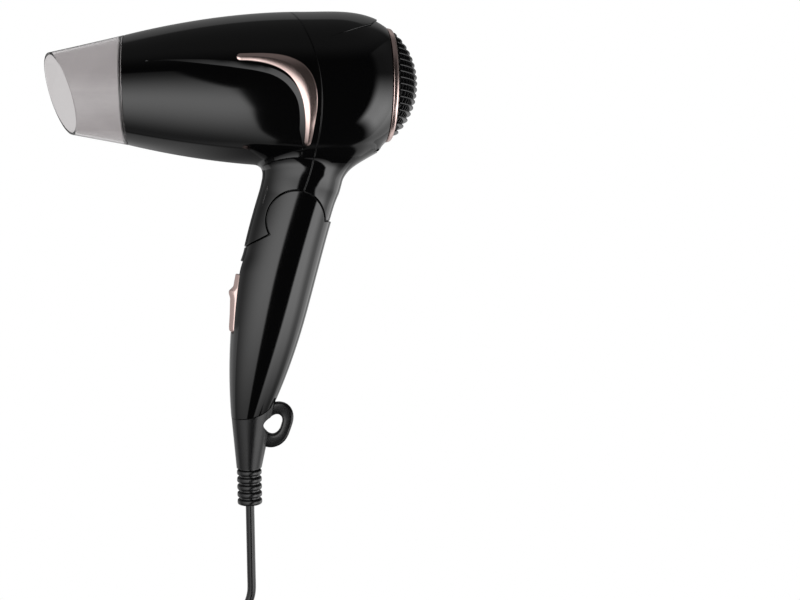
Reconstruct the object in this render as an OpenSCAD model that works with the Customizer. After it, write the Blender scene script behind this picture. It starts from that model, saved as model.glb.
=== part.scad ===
// Folding travel hair dryer with a turning concentrator nozzle, shown open.
// The origin is the middle of the grip. +X points to the air intake, -X is where the air
// blows, +Z is up, and the cord hangs down from the grip to a tied coil.

/* [Head] */
// Outer radius of the barrel at its outlet
outlet_r = 29.2; // [28.5:0.1:32]
// Largest outer radius of the head
head_r = 41.7; // [41:0.1:45]
// Outer radius of the head at the intake end
intake_r = 30.3; // [29:0.1:33]
// Length from the widest section to the outlet
barrel_len = 94.7; // [90:0.1:105]
// Length from the widest section to the intake end
rear_len = 48; // [45:0.1:52]
// Height of the head's axis above the hinge
head_rise = 72.3; // [70:0.1:77]
// Distance of the widest section behind the hinge
head_set = 5; // [3:0.1:7]
// Wall of the head and neck shells
shell_wall = 2.2; // [1.8:0.1:2.6]
// Radius of the curved parting line between the head's shells
parting_r = 110; // [100:1:130]
// Height of the peak above the intake end
peak_h = 2.2; // [1:0.1:3]
// Length of the peak's overhang, from the widest section
peak_len = 40.4; // [36:0.1:42]

/* [Grip] */
// Lean of the grip from upright, in degrees
grip_tilt = 12; // [8:0.5:15]
// Length of the grip from the hinge to the cord guard
grip_len = 113; // [108:0.5:120]
// Width of the grip at the hinge, front to back
grip_w = 44.2; // [42:0.1:46]
// Depth of the grip at the hinge, side to side
grip_d = 37; // [36:0.1:40]
// Width and depth of the grip at the cord guard
grip_end = 19.2; // [18:0.1:21]
// Distance of the grip's axis in front of the hinge
grip_set = 4.2; // [3.5:0.1:5]
// Distance from the hinge down to the middle of the grip
grip_drop = 62; // [56:0.5:66]
// Step in from the grip's front to the neck's, so that the neck folds into the grip
neck_slim = 1; // [0.9:0.05:1.4]
// Step in from the grip's side to the neck's, which leaves the grip its wall when folded
neck_thin = 1.7; // [1.6:0.05:2.2]
// Wall of the grip shells
grip_wall = 2.2; // [1.8:0.1:2.6]

/* [Hinge] */
// Radius of the grip's round cheeks
cheek_r = 16; // [15:0.1:17]
// Half the width of the neck's tongue
tongue_half = 6.5; // [5.5:0.1:7.5]
// Radius of the hinge pin
pin_r = 2.5; // [2:0.1:3]
// Thickness of each hinge washer
washer_t = 0.6; // [0.4:0.1:1]
// Radial clearance of a running fit
run_clear = 0.05; // [0.02:0.01:0.1]
// Clearance between bodies that pass each other
pass_clear = 0.4; // [0.3:0.05:0.6]
// Clearance between fixed pieces that seat on each other
seat_clear = 0.1; // [0.05:0.05:0.2]

/* [Switch] */
// Length of the switch slider
slider_len = 32; // [30:0.2:36]
// Width of the switch slider
slider_w = 14.4; // [12:0.2:15]
// Travel of the slider from off to high
slider_travel = 7; // [5:0.5:8]
// Lean of the slider's track from the grip's axis, in degrees
slider_lean = 4.5; // [3:0.5:6]

/* [Nozzle] */
// Length of the nozzle on its axis
nozzle_len = 35.5; // [30:0.5:38]
// Height of the nozzle's mouth
mouth_h = 43.8; // [36:0.2:46]
// Depth of the nozzle's mouth
mouth_d = 30; // [26:0.2:36]
// Wall of the nozzle
nozzle_wall = 1.6; // [1.2:0.1:2]
// Length of the nozzle's spigot inside the barrel
spigot_len = 8.7; // [7:0.1:9.5]

/* [Drive] */
// Radius of the motor can
motor_r = 14; // [12:0.1:15]
// Length of the motor can
motor_len = 32; // [28:0.5:34]
// Number of fan blades
fan_blades = 7; // [5:1:9]
// Gap between the fan's duct and the head's shell
duct_gap = 3.2; // [2.4:0.1:5.4]
// Gap between the fan's tips and its duct
fan_gap = 0.6; // [0.4:0.1:1.2]
// Radius of the motor shaft
shaft_r = 1; // [0.8:0.05:1.5]

/* [Heater] */
// Gap between the mica sleeve's front end and the front shell
sleeve_gap = 0.2; // [0.1:0.05:0.9]
// Thickness of the mica sleeve and boards
mica_t = 0.8; // [0.6:0.1:1]
// Radius of the heating coil's wire
wire_r = 0.6; // [0.4:0.05:0.8]
// Turns of the heating coil
wire_turns = 9; // [6:1:10]

/* [Cord] */
// Diameter of the mains cord
cord_d = 4.8; // [4.4:0.1:5]
// Distance between neighbouring turns and layers of the coil
coil_pitch = 5.9; // [5.9:0.1:6.4]
// Largest radius of the coil's turns
coil_r = 32; // [31:0.5:34]
// Radius of the ribbed strain relief
boot_r = 6.85; // [6:0.05:7.5]
// Radius of the hanging loop's hole
loop_hole_r = 5.7; // [5:0.1:6]
// Radius of the hanging loop's rim
loop_r = 12; // [11:0.1:13]
// Thickness of the hanging loop
loop_t = 6; // [4:0.5:8]
// Diameter of the plug's pins
plug_pin_d = 4; // [3.8:0.1:4.8]
// Distance between the plug's pins
plug_pitch = 18.6; // [17.5:0.1:19]
// Free length of the plug's pins
plug_pin_len = 19; // [17:0.5:20]

/* [Hidden] */
$fn = 96;
tiny = 0.01;
far = 200;

gloss_black = "#17171a";
rose_gold = "#d9b3aa";
smoke = [0.62, 0.6, 0.6, 0.55];
soft_black = "#242427";
steel = "#b9bcc0";
mica = "#cdb98f";

// Where the hinge and the head's axis lie, measured from the middle of the grip
hinge_x = grip_set * cos(grip_tilt) + grip_drop * sin(grip_tilt);
hinge_z = grip_drop * cos(grip_tilt) - grip_set * sin(grip_tilt);
wide_x = hinge_x + head_set;
axis_z = hinge_z + head_rise;

// Places local z along the head's axis towards the intake, from the widest section
module on_head() {
    translate([wide_x, 0, axis_z]) rotate([0, 90, 0]) children();
}

// Places local z up the grip's axis and local x to the back, from the hinge
module on_grip() {
    translate([hinge_x, 0, hinge_z]) rotate([0, grip_tilt, 0]) children();
}

// Turns local z into the hinge's axis
module on_pin() {
    on_grip() rotate([90, 0, 0]) children();
}

// Head outline: a power curve to the outlet and a rounder one to the intake
barrel_curve = 1.85;
rear_curve = 3.5;
function head_radius(u) = u < 0
    ? head_r - (head_r - outlet_r) * pow(-u / barrel_len, barrel_curve)
    : head_r - (head_r - intake_r) * pow(u / rear_len, rear_curve);
function head_line(from, to, steps, grow) = [for (i = [0:steps])
    let (u = from + (to - from) * i / steps) [head_radius(u) + grow, u]];
module head_solid(from, to, grow) {
    steps = 22;
    rotate_extrude()
        polygon(concat([[0, from]], head_line(from, to, steps, grow), [[0, to]]));
}

// Grip and neck outline: s runs down from the hinge along the grip's axis
grip_taper = 2.5;
grip_round = 2.3;
neck_back = 4;
neck_fade = 45;
neck_top = 20;
flare_at = 26;
flare_run = 23;
flare = 17.8;
flare_curve = 1.73;
slim_from = -27;
slim_run = 15;
function grip_center(s) = grip_set
    - neck_back * pow(max(0, neck_fade - max(s, -neck_top)) / (neck_fade + neck_top), 2);
function taper(s) = pow(max(0, s) / grip_len, grip_taper);
function grip_half_w(s) = (grip_w - (grip_w - grip_end) * taper(s)) / 2;
function grip_half_d(s) = (grip_d - (grip_d - grip_end) * taper(s)) / 2;
function neck_flare(s) = s < -flare_at ? flare * pow((-s - flare_at) / flare_run, flare_curve) : 0;
function ease(t) = let (k = min(1, max(0, t))) k * k * (3 - 2 * k);
function neck_step(s) = ease((s - slim_from) / slim_run);
function power(v) = sign(v) * pow(abs(v), 2 / grip_round);
function grip_depth(x, s, slim, thin) = let (t = abs(x + grip_center(s)) / (grip_half_w(s) - slim))
    t < 1 ? (grip_half_d(s) - thin) * pow(1 - pow(t, grip_round), 1 / grip_round) : 0;
function grip_ring(s, sides, slim, thin) = let (wide = neck_flare(s) / 2)
    [for (j = [0:sides - 1]) let (a = 360 * j / sides)
        [wide - grip_center(s) + (grip_half_w(s) + wide - slim) * power(cos(a)),
         (grip_half_d(s) - thin) * power(sin(a)), -s]];

// Triangles that join a stack of rings, listed from the lowest ring up, and its two ends
function skin(rings, sides) = concat(
    [for (i = [0:rings - 2], j = [0:sides - 1]) [i * sides + j, (i + 1) * sides + j,
        (i + 1) * sides + (j + 1) % sides]],
    [for (i = [0:rings - 2], j = [0:sides - 1]) [i * sides + j,
        (i + 1) * sides + (j + 1) % sides, i * sides + (j + 1) % sides]],
    [for (j = [1:sides - 2]) [0, j, j + 1]],
    [for (j = [1:sides - 2]) let (top = (rings - 1) * sides) [top, top + j + 1, top + j]]);
module grip_loft(high, low, steps, inset) {
    sides = 24;
    points = [for (i = [0:steps]) each grip_ring(low + (high - low) * i / steps, sides, inset, inset)];
    polyhedron(points, skin(steps + 1, sides));
}
module neck_loft(high, low, steps, inset) {
    sides = 24;
    points = [for (i = [0:steps]) let (s = low + (high - low) * i / steps)
        each grip_ring(s, sides, inset + neck_slim * neck_step(s), inset + neck_thin * neck_step(s))];
    polyhedron(points, skin(steps + 1, sides));
}

// Hinge seam: the neck ends on two rays from the hinge, the skirt in front and the tip behind
skirt_angle = 217.5;
tip_angle = 372;
seam_gap = 1.2;
cut_r = cheek_r + pass_clear;
slot_half = tongue_half + washer_t + 2 * seat_clear;
module sector(from, to) {
    steps = 6;
    rotate([90, 0, 0]) linear_extrude(far, center = true)
        polygon(concat([[0, 0]], [for (i = [0:steps]) let (a = from + (to - from) * i / steps)
            far * [cos(a), sin(a)]]));
}

// Parting surface of the head, a cylinder across it
parting_set = 13;
parting_gap = 0.1;
parting_drop = 14;
module parting(grow) {
    translate([hinge_x + parting_set - parting_r, 0, axis_z - parting_drop]) rotate([90, 0, 0])
        cylinder(r = parting_r + grow, h = far, center = true, $fn = 200);
}

// Seat of the nozzle's spigot in the barrel
seat_r = outlet_r - shell_wall - 0.4;
seat_len = 10;
mouth_u = -barrel_len;
liner_u = mouth_u + seat_len;
module head_inside() {
    head_solid(liner_u, rear_len + tiny, -shell_wall);
    translate([0, 0, mouth_u - 1]) cylinder(r = seat_r, h = seat_len + 2);
}

// Both head shells with the neck, before they are parted
neck_loft_top = -47;
neck_loft_low = 34;
ring_w = 1.4;
shell_end = rear_len - ring_w;
module head_and_neck() {
    difference() {
        union() {
            on_head() head_solid(mouth_u, shell_end, 0);
            on_grip() neck_loft(neck_loft_top, neck_loft_low, 14, 0);
        }
        on_head() head_inside();
        on_grip() neck_loft(neck_loft_top - 2, neck_loft_low + 1, 14, shell_wall);
        on_pin() cylinder(r = cut_r, h = far, center = true);
        on_grip() sector(skirt_angle, tip_angle);
    }
}

// Tongue that carries the neck on the hinge pin
tongue_r = 8.5;
tongue_up = 20;
tongue_back = 2;
tongue_low = 12;
module tongue() {
    wall_x = grip_center(0) + grip_half_w(0) - shell_wall / 2;
    rotate([90, 0, 0]) linear_extrude(2 * tongue_half, center = true) {
        circle(r = tongue_r);
        polygon([[-tongue_back, 0], [-tongue_back, tongue_up], [-wall_x + 2, tongue_up], [-wall_x, 0],
            [-wall_x, -tongue_low], [-tongue_r, -tongue_r * 0.7], [0, -tongue_r + tiny]]);
    }
}

// Neck screw, which draws the rear shell's boss onto the front shell's boss
boss_r = 4.2;
boss_up = 27.6;
screw_r = 1.5;
screw_head_r = 2.9;
screw_head_t = 2.2;
screw_seat = 12;
boss_join = 0.4;
module boss(from, to, r) {
    translate([from, 0, boss_up]) rotate([0, 90, 0]) cylinder(r = r, h = to - from);
}
function neck_front() = -grip_center(-boss_up) - grip_half_w(-boss_up);
function neck_rear() = -grip_center(-boss_up) + grip_half_w(-boss_up);

module front_shell() {
    color(gloss_black) difference() {
        union() {
            intersection() {
                head_and_neck();
                parting(-parting_gap / 2);
            }
            on_grip() tongue();
            on_grip() boss(neck_front() + shell_wall / 2, -boss_join, boss_r);
        }
        on_pin() cylinder(r = pin_r + run_clear, h = far, center = true);
        on_grip() boss(neck_front() + shell_wall, far, screw_r + seat_clear);
    }
}

// Peak over the intake, above a crease that rises to the back
crease_slope = 22;
crease_x = 8.8;
crease_drop = 17.5;
module peak() {
    steps = 8;
    start = 8;
    line = [for (i = [0:steps]) let (u = start + (peak_len - start) * i / steps)
        [head_radius(u) + peak_h * pow(i / steps, 2), u]];
    under = [for (i = [steps:-1:0]) let (u = start + (peak_len - start) * i / steps)
        [head_radius(u) - shell_wall / 2, u]];
    intersection() {
        on_head() rotate_extrude() polygon(concat(line, under));
        translate([hinge_x + crease_x, 0, axis_z + crease_drop]) rotate([0, -crease_slope, 0])
            translate([-far / 2, -far / 2, 0]) cube([far, far, far]);
    }
}

module rear_shell() {
    color(gloss_black) difference() {
        union() {
            difference() {
                union() {
                    head_and_neck();
                    peak();
                }
                parting(parting_gap / 2);
            }
            on_grip() boss(0, neck_rear() - shell_wall / 2, boss_r);
        }
        on_grip() boss(-tiny, far, screw_r + seat_clear);
        on_grip() boss(screw_seat, far, screw_head_r + seat_clear);
    }
}

module neck_screw() {
    color(steel) on_grip() {
        boss(neck_front() + shell_wall + 1, screw_seat + tiny, screw_r);
        boss(screw_seat, screw_seat + screw_head_t, screw_head_r);
    }
}

// Sickle trim: a thick bar along a cubic curve in the side view, laid on the barrel
trim_t = 1;
trim_glue = 0.06;
trim_from = [-35.3, 10.5];
trim_pull = [-4.7, 10.5];
trim_turn = [6, 3.1];
trim_to = [0.9, -33.4];
trim_mid = 4.8;
trim_tip = 1.8;
trim_steps = 16;
function trim_at(t) = pow(1 - t, 3) * trim_from + 3 * t * pow(1 - t, 2) * trim_pull
    + 3 * t * t * (1 - t) * trim_turn + pow(t, 3) * trim_to;
function trim_way(t) = let (d = trim_at(min(1, t + tiny)) - trim_at(max(0, t - tiny))) d / norm(d);
function trim_blunt(t) = t <= 0 || t >= 1 ? 0.6 : 1;
function trim_half(t) = trim_blunt(t)
    * (trim_tip + (trim_mid - trim_tip) * pow(max(0, sin(180 * pow(t, 1.2))), 1.4));
function trim_edge(side) = [for (i = [0:trim_steps]) let (t = i / trim_steps, d = trim_way(t))
    trim_at(t) + side * trim_half(t) * [-d[1], d[0]]];
module sickle() {
    up = trim_edge(1);
    down = trim_edge(-1);
    translate([wide_x, 0, axis_z]) rotate([90, 0, 0]) linear_extrude(far)
        polygon(concat(up, [for (i = [trim_steps:-1:0]) down[i]]));
}
trim_front_u = -50;
trim_back_u = 20;
module trim() {
    intersection() {
        on_head() difference() {
            head_solid(trim_front_u, trim_back_u, trim_t);
            head_solid(trim_front_u - 1, trim_back_u + 1, trim_glue);
        }
        sickle();
    }
}
module trim_left() {
    color(rose_gold) trim();
}
module trim_right() {
    color(rose_gold) mirror([0, 1, 0]) trim();
}

// Intake ring and grille
ring_out = 0.3;
ring_in = 2.3;
ring_proud = 1.9;
ring_inner = intake_r - ring_in;
module intake_ring() {
    rear_u = rear_len + ring_proud;
    outer = intake_r + ring_out;
    color(rose_gold) on_head() rotate_extrude() polygon([[ring_inner, shell_end + seat_clear],
        [outer + 0.4, shell_end + seat_clear], [outer, rear_len], [outer - 0.8, rear_u],
        [ring_inner + 0.6, rear_u], [ring_inner, rear_u - 0.6]]);
}

dome_h = 16.4;
dome_rim = ring_inner - 0.3;
dome_base = dome_rim - 1;
dome_r = (pow(dome_base, 2) + pow(dome_h, 2)) / (2 * dome_h);
dome_u = rear_len + dome_h - dome_r;
rib_pitch = 3.3;
rib_t = 1.5;
rib_count = 7;
rib_h = 2.6;
web_pitch = 7.2;
web_t = 1.4;
web_count = 3;
web_sink = 0.7;
module dome(outer, inner) {
    difference() {
        translate([0, 0, dome_u]) sphere(r = outer);
        translate([0, 0, dome_u]) sphere(r = inner);
        translate([0, 0, rear_len - 1 - far]) cylinder(r = far, h = far);
    }
}
module intake_grille() {
    rim_in = dome_rim - rib_h;
    low = shell_end - rib_h - seat_clear;
    step = shell_end - 2 * pass_clear;
    color(gloss_black) on_head() {
        intersection() {
            dome(dome_r, dome_r - rib_h);
            for (i = [-rib_count:rib_count])
                translate([i * rib_pitch, 0, rear_len + far / 2 - 2]) cube([rib_t, far, far], center = true);
        }
        intersection() {
            dome(dome_r - rib_h / 2, dome_r - rib_h - web_sink);
            for (i = [-web_count:web_count])
                translate([0, i * web_pitch, rear_len + far / 2 - 2]) cube([far, web_t, far], center = true);
        }
        rotate_extrude() polygon([[rim_in, low], [ring_inner + 1.6, low], [ring_inner + 1.6, step],
            [dome_rim, step], [dome_rim, rear_len + 0.6], [rim_in, rear_len + 0.6]]);
    }
}

// Motor, fan and the mount that holds them in the barrel
motor_u = -20;
motor_end = motor_u + motor_len;
cap_t = 3;
hub_u = motor_end + cap_t + 2;
hub_len = 11;
hub_r = 9;
duct_t = 1.5;
duct_r = head_r - shell_wall - duct_gap;
fan_r = duct_r - duct_t - fan_gap;
mount_u = -24;
duct_end = 30;
flange_t = 4;
flange_r = head_radius(mount_u) - shell_wall - seat_clear;
vane_count = 7;
vane_t = 1.2;
sleeve_end = mount_u - seat_clear;
module motor_can() {
    color(steel) on_head() difference() {
        translate([0, 0, motor_u]) cylinder(r = motor_r, h = motor_len - tiny);
        translate([0, 0, motor_u - 1]) cylinder(r = shaft_r + run_clear, h = motor_len + 2);
    }
}
module motor_cap() {
    color("#2b2b2e") on_head() difference() {
        translate([0, 0, motor_end]) cylinder(r = motor_r - 0.5, h = cap_t);
        translate([0, 0, motor_end - 1]) cylinder(r = shaft_r + run_clear, h = cap_t + 2);
    }
}
module motor_mount() {
    hub_in = motor_r + seat_clear;
    vane_len = duct_r - hub_in - duct_t;
    color("#3a3a3d") on_head() {
        difference() {
            union() {
                translate([0, 0, mount_u]) cylinder(r = duct_r, h = duct_end - mount_u);
                translate([0, 0, mount_u]) cylinder(r = flange_r, h = flange_t);
            }
            translate([0, 0, mount_u - 1]) cylinder(r = duct_r - duct_t, h = duct_end - mount_u + 2);
        }
        difference() {
            translate([0, 0, motor_u + 2]) cylinder(r = hub_in + duct_t, h = motor_len - 6);
            translate([0, 0, motor_u]) cylinder(r = hub_in, h = motor_len);
        }
        for (i = [0:vane_count - 1]) rotate(360 * i / vane_count)
            translate([hub_in + duct_t / 2, -vane_t / 2, motor_u + 4])
                cube([vane_len, vane_t, motor_len - 14]);
    }
}
module motor_shaft() {
    color(steel) on_head() translate([0, 0, motor_u - 1])
        cylinder(r = shaft_r, h = hub_u + hub_len + 2 - motor_u);
}
blade_t = 1.4;
blade_pitch = 38;
module fan() {
    color("#2f2f33") on_head() difference() {
        union() {
            translate([0, 0, hub_u]) cylinder(r = hub_r, h = hub_len);
            intersection() {
                translate([0, 0, hub_u + 0.5]) difference() {
                    cylinder(r = fan_r, h = hub_len - 1);
                    translate([0, 0, -1]) cylinder(r = hub_r - 0.5, h = hub_len + 2);
                }
                for (i = [0:fan_blades - 1]) rotate(360 * i / fan_blades)
                    translate([far / 4, 0, hub_u + hub_len / 2]) rotate([blade_pitch, 0, 0])
                        cube([far / 2, blade_t, 3 * hub_len], center = true);
            }
        }
        translate([0, 0, hub_u - 1]) cylinder(r = shaft_r + tiny, h = hub_len + 2);
    }
}

board_t = 1.2;
diode_r = 1.4;
diode_len = 5;
diode_set = 6.5;
module rectifier_board() {
    color("#3f6b4a") on_head() translate([0, 0, motor_u - seat_clear - board_t]) difference() {
        union() {
            cylinder(r = motor_r - 3, h = board_t);
            for (a = [45:90:315]) rotate(a) translate([diode_set, -diode_len / 2, -diode_r + tiny])
                rotate([-90, 0, 0]) cylinder(r = diode_r, h = diode_len);
        }
        translate([0, 0, -2 * diode_r]) cylinder(r = shaft_r + 1, h = 10);
    }
}

// Heater: two crossed mica boards with wide ends, wound with one wire, in a mica sleeve
guard_t = 2;
guard_u = liner_u + seat_clear;
sleeve_r = head_radius(guard_u) - shell_wall - sleeve_gap;
board_u = guard_u + guard_t + seat_clear;
board_end = mount_u - 6;
board_tab = 6;
tab_half = sleeve_r - mica_t - 0.3;
wind_half = tab_half - 4.5;
wire_gap = 0.4;
notch = 0.3;
module mica_plate(slot_from, slot_to) {
    // Seen flat: wide tabs at its ends, a narrower waist for the wire and a slot from one end
    edge = [[tab_half, board_u], [tab_half, board_u + board_tab], [wind_half, board_u + board_tab],
        [wind_half, board_end - board_tab], [tab_half, board_end - board_tab], [tab_half, board_end]];
    rotate([90, 0, 0]) difference() {
        linear_extrude(mica_t, center = true)
            polygon(concat(edge, [for (i = [len(edge) - 1:-1:0]) [-edge[i][0], edge[i][1]]]));
        translate([-mica_t / 2 - notch / 2, slot_from, -mica_t])
            cube([mica_t + notch, slot_to - slot_from, 2 * mica_t]);
    }
}
board_mid = (board_u + board_end) / 2;
module mica_upright() {
    color(mica) on_head() mica_plate(board_mid - notch, board_end + 1);
}
module mica_flat() {
    color(mica) on_head() rotate(90) mica_plate(board_u - 1, board_mid + notch);
}
module mica_sleeve() {
    color(mica) on_head() translate([0, 0, guard_u]) difference() {
        cylinder(r = sleeve_r, h = sleeve_end - guard_u);
        translate([0, 0, -1]) cylinder(r = sleeve_r - mica_t, h = sleeve_end - guard_u + 2);
    }
}
wire_rings = 16;
wire_sides = 6;
wind_r = wind_half + wire_gap + wire_r;
wind_from = board_u + board_tab + 2;
wind_to = board_end - board_tab - 2;
function wire_point(i) = let (a = 360 * i / wire_rings, n = wire_rings * wire_turns)
    [wind_r * cos(a), wind_r * sin(a), wind_from + (wind_to - wind_from) * i / n];
wire_line = [for (i = [0:wire_rings * wire_turns]) wire_point(i)];
module heating_coil() {
    color("#8d8f94") on_head() tube(wire_line, wire_r, wire_sides, [0, 0, 1]);
}
cutout_size = [9, 4, 5];
module thermal_cutout() {
    color("#c9c9cc") on_head()
        translate([mica_t / 2 + seat_clear, 5, board_mid])
            cube([cutout_size[1], cutout_size[2], cutout_size[0]]);
}
bar_t = 1.2;
bar_count = 6;
module outlet_grille() {
    outer = sleeve_r - mica_t - 0.2;
    color("#33302e") on_head() translate([0, 0, guard_u]) {
        for (r = [outer, outer * 2 / 3, outer / 3]) difference() {
            cylinder(r = r, h = guard_t);
            translate([0, 0, -1]) cylinder(r = r - bar_t, h = guard_t + 2);
        }
        for (i = [0:bar_count - 1]) rotate(360 * i / bar_count) translate([0, -bar_t / 2, 0])
            cube([outer - bar_t / 2, bar_t, guard_t]);
    }
}

// Concentrator nozzle: round at the barrel, oval at its slanted mouth
mouth_drop = 1.6;
slant_up = 0.29;
slant_side = 0.52;
nozzle_gap = 0.3;
nozzle_steps = 5;
function nozzle_ring(t, sides, inset) = [for (j = [0:sides - 1]) let (a = 360 * j / sides,
        c = cos(a), s = sin(a),
        down = mouth_drop + (mouth_h / 2 - inset) * c, side = (mouth_d / 2 - inset) * s,
        reach = -nozzle_len + slant_up * (down - mouth_drop) - slant_side * side,
        round_r = outlet_r - inset)
    [round_r * c * (1 - t) + down * t, round_r * s * (1 - t) + side * t,
     mouth_u - nozzle_gap + reach * t]];
module nozzle_loft(inset, from, past) {
    sides = 48;
    points = [for (i = [nozzle_steps:-1:0])
        each nozzle_ring(from + (past - from) * i / nozzle_steps, sides, inset)];
    polyhedron(points, skin(nozzle_steps + 1, sides));
}
spigot_r = seat_r - run_clear;
spigot_wall = 1.8;
module nozzle() {
    color(smoke) on_head() difference() {
        union() {
            nozzle_loft(0, 0, 1);
            translate([0, 0, mouth_u - nozzle_gap - 1])
                cylinder(r = spigot_r, h = spigot_len + 1 + nozzle_gap);
        }
        nozzle_loft(nozzle_wall, nozzle_wall / nozzle_len, 1.1);
        translate([0, 0, mouth_u - nozzle_gap - 2])
            cylinder(r = spigot_r - spigot_wall, h = spigot_len + 4);
    }
}

// Grip shells, split down the middle, with the hinge's cheeks at the top
hollow_top = 18;
grip_low = 122;
fold_angle = 80;
void_angle = skirt_angle + fold_angle + 2;
drum_from = -55;
drum_to = 84;
drum_t = 2.5;
seam_rise = 15;
seam_up = 4.1;
module seam_cut(up) {
    // Everything below the seam to the cord guard, or with up = 1 everything above it
    translate([guard_x, 0, seam_z]) rotate([0, -seam_rise, 0])
        translate([-far / 2, -far / 2, up == 1 ? 0 : -far]) cube([far, far, far]);
}
function skirt_depth(r) = grip_depth(r * cos(skirt_angle), -r * sin(skirt_angle), neck_slim, neck_thin);
skirt_s = 19;
skirt_reach = (grip_center(skirt_s) + grip_half_w(skirt_s) - neck_slim) / -cos(skirt_angle) + pass_clear;
module skirt_path() {
    // Room that the neck's skirt sweeps as it folds into the grip
    steps = 10;
    edge = [for (i = [0:steps]) let (r = cut_r - 1 + (skirt_reach - cut_r + 1) * sin(90 * i / steps))
        [r, skirt_depth(r) + pass_clear]];
    rotate([90, 0, 0]) rotate([0, 0, skirt_angle - 4])
        rotate_extrude(angle = void_angle - skirt_angle + 4)
            polygon(concat(edge, [for (i = [steps:-1:0]) [edge[i][0], -edge[i][1]]]));
}
module tongue_slot() {
    // Slot between the cheeks for the tongue, closed behind by a round drum wall
    rotate([90, 0, 0]) difference() {
        cylinder(r = cut_r + 0.2, h = 2 * slot_half, center = true);
        rotate([0, 0, drum_from]) rotate_extrude(angle = drum_to - drum_from)
            translate([cheek_r - drum_t, -far]) square([2 * drum_t, 2 * far]);
    }
}
grip_screw_at = [[6, 40], [-4, 84]];
function screw_depth(p) = grip_depth(p[0], p[1], 0, 0);
post_r = 3.8;
rib_at = [9, -12];
rib_w = 3;
module grip_body() {
    difference() {
        union() {
            difference() {
                intersection() {
                    grip_loft(-cheek_r - 2, grip_low, 16, 0);
                    union() {
                        rotate([90, 0, 0]) cylinder(r = cheek_r, h = far, center = true);
                        sector(skirt_angle + seam_gap, tip_angle - seam_gap);
                    }
                }
                grip_loft(hollow_top, grip_low + 5, 13, grip_wall);
                skirt_path();
                tongue_slot();
            }
            for (p = grip_screw_at) translate([p[0], 0, -p[1]]) rotate([90, 0, 0])
                cylinder(r = post_r, h = 2 * screw_depth(p) - 2, center = true);
            on_slide() for (z = rib_at, side = [-1, 1])
                translate([switch_depth / 2 + 1, side * (switch_half + seat_clear + rib_reach(z) / 2), z])
                    cube([rib_w, rib_reach(z), rib_w], center = true);
        }
        rotate([90, 0, 0]) cylinder(r = pin_r, h = 2 * pin_half, center = true);
        on_slide() translate([-far / 4, -slider_w / 2 - pass_clear, -slider_len / 2 - pass_clear])
            cube([far / 4 + tiny, slider_w + 2 * pass_clear, slider_len + slider_travel + 2 * pass_clear]);
        for (p = grip_screw_at) translate([p[0], 0, -p[1]]) rotate([90, 0, 0]) {
            translate([0, 0, -far / 2])
                cylinder(r = screw_r + seat_clear, h = far / 2 + screw_depth(p) - 3);
            translate([0, 0, -far])
                cylinder(r = screw_head_r + seat_clear, h = far - screw_depth(p) + screw_sunk);
        }
    }
}
pin_half = grip_d / 2 - 2.2;
screw_sunk = 4;
module grip_half(side) {
    difference() {
        on_grip() grip_body();
        seam_cut(0);
        translate([-far, side > 0 ? -2 * far : 0, -far]) cube([2 * far, 2 * far, 2 * far]);
    }
}
module grip_left() {
    color(gloss_black) grip_half(-1);
}
module grip_right() {
    color(gloss_black) grip_half(1);
}
module grip_screws() {
    color(steel) on_grip() for (p = grip_screw_at) translate([p[0], 0, -p[1]]) rotate([90, 0, 0]) {
        translate([0, 0, -screw_depth(p) + screw_sunk - tiny])
            cylinder(r = screw_r, h = 2 * screw_depth(p) - screw_sunk - 4);
        translate([0, 0, -screw_depth(p) + screw_sunk - screw_head_t])
            cylinder(r = screw_head_r, h = screw_head_t);
    }
}
module hinge_pin() {
    color(steel) on_pin() cylinder(r = pin_r, h = 2 * pin_half - 0.4, center = true);
}
module hinge_washers() {
    color("#d8d2c4") on_pin() for (side = [-1, 1])
        translate([0, 0, side * (tongue_half + seat_clear + washer_t / 2)]) difference() {
            cylinder(r = tongue_r - 1, h = washer_t, center = true);
            cylinder(r = pin_r + run_clear, h = far, center = true);
        }
}

// Switch: a slider in a slot of the grip's front, on a switch body inside
slide_s = 49.9;
slide_n = 19.3;
slider_rise = 8.5;
switch_depth = 7;
switch_half = 6;
switch_len = 40;
switch_drop = 2.3;
rib_sink = grip_wall * 0.7;
function rib_reach(z) =
    grip_depth(-slide_n + switch_depth / 2, slide_s - z, rib_sink, rib_sink) - switch_half;
module on_slide() {
    translate([-slide_n, 0, -slide_s]) rotate([0, -slider_lean, 0]) children();
}
module switch_slider() {
    // Side view: a thin plate above, the finger ridge, then a plate that thins down to the low end
    half = slider_len / 2;
    low = [[0, -1], [-0.54, -1], [-0.68, -0.95], [-0.72, -0.87], [-0.76, -0.43], [-0.85, 0.12]];
    ridge = [[-0.87, 0.175], [-0.98, 0.32], [-0.976, 0.39], [-0.87, 0.45]];
    high = [[-0.725, 0.545], [-0.665, 0.97], [-0.635, 1], [0, 1]];
    outline = [for (p = concat(low, ridge, high)) [p[0] * slider_rise, p[1] * half]];
    color(rose_gold) on_grip() on_slide() translate([-seat_clear, 0, 0]) rotate([90, 0, 0])
        linear_extrude(slider_w, center = true) polygon(outline);
}
module switch_body() {
    color("#2a2a2d") on_grip() on_slide()
        translate([seat_clear, -switch_half, -switch_len / 2 + slider_travel / 2 - switch_drop])
            cube([switch_depth, 2 * switch_half, switch_len]);
}

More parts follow.
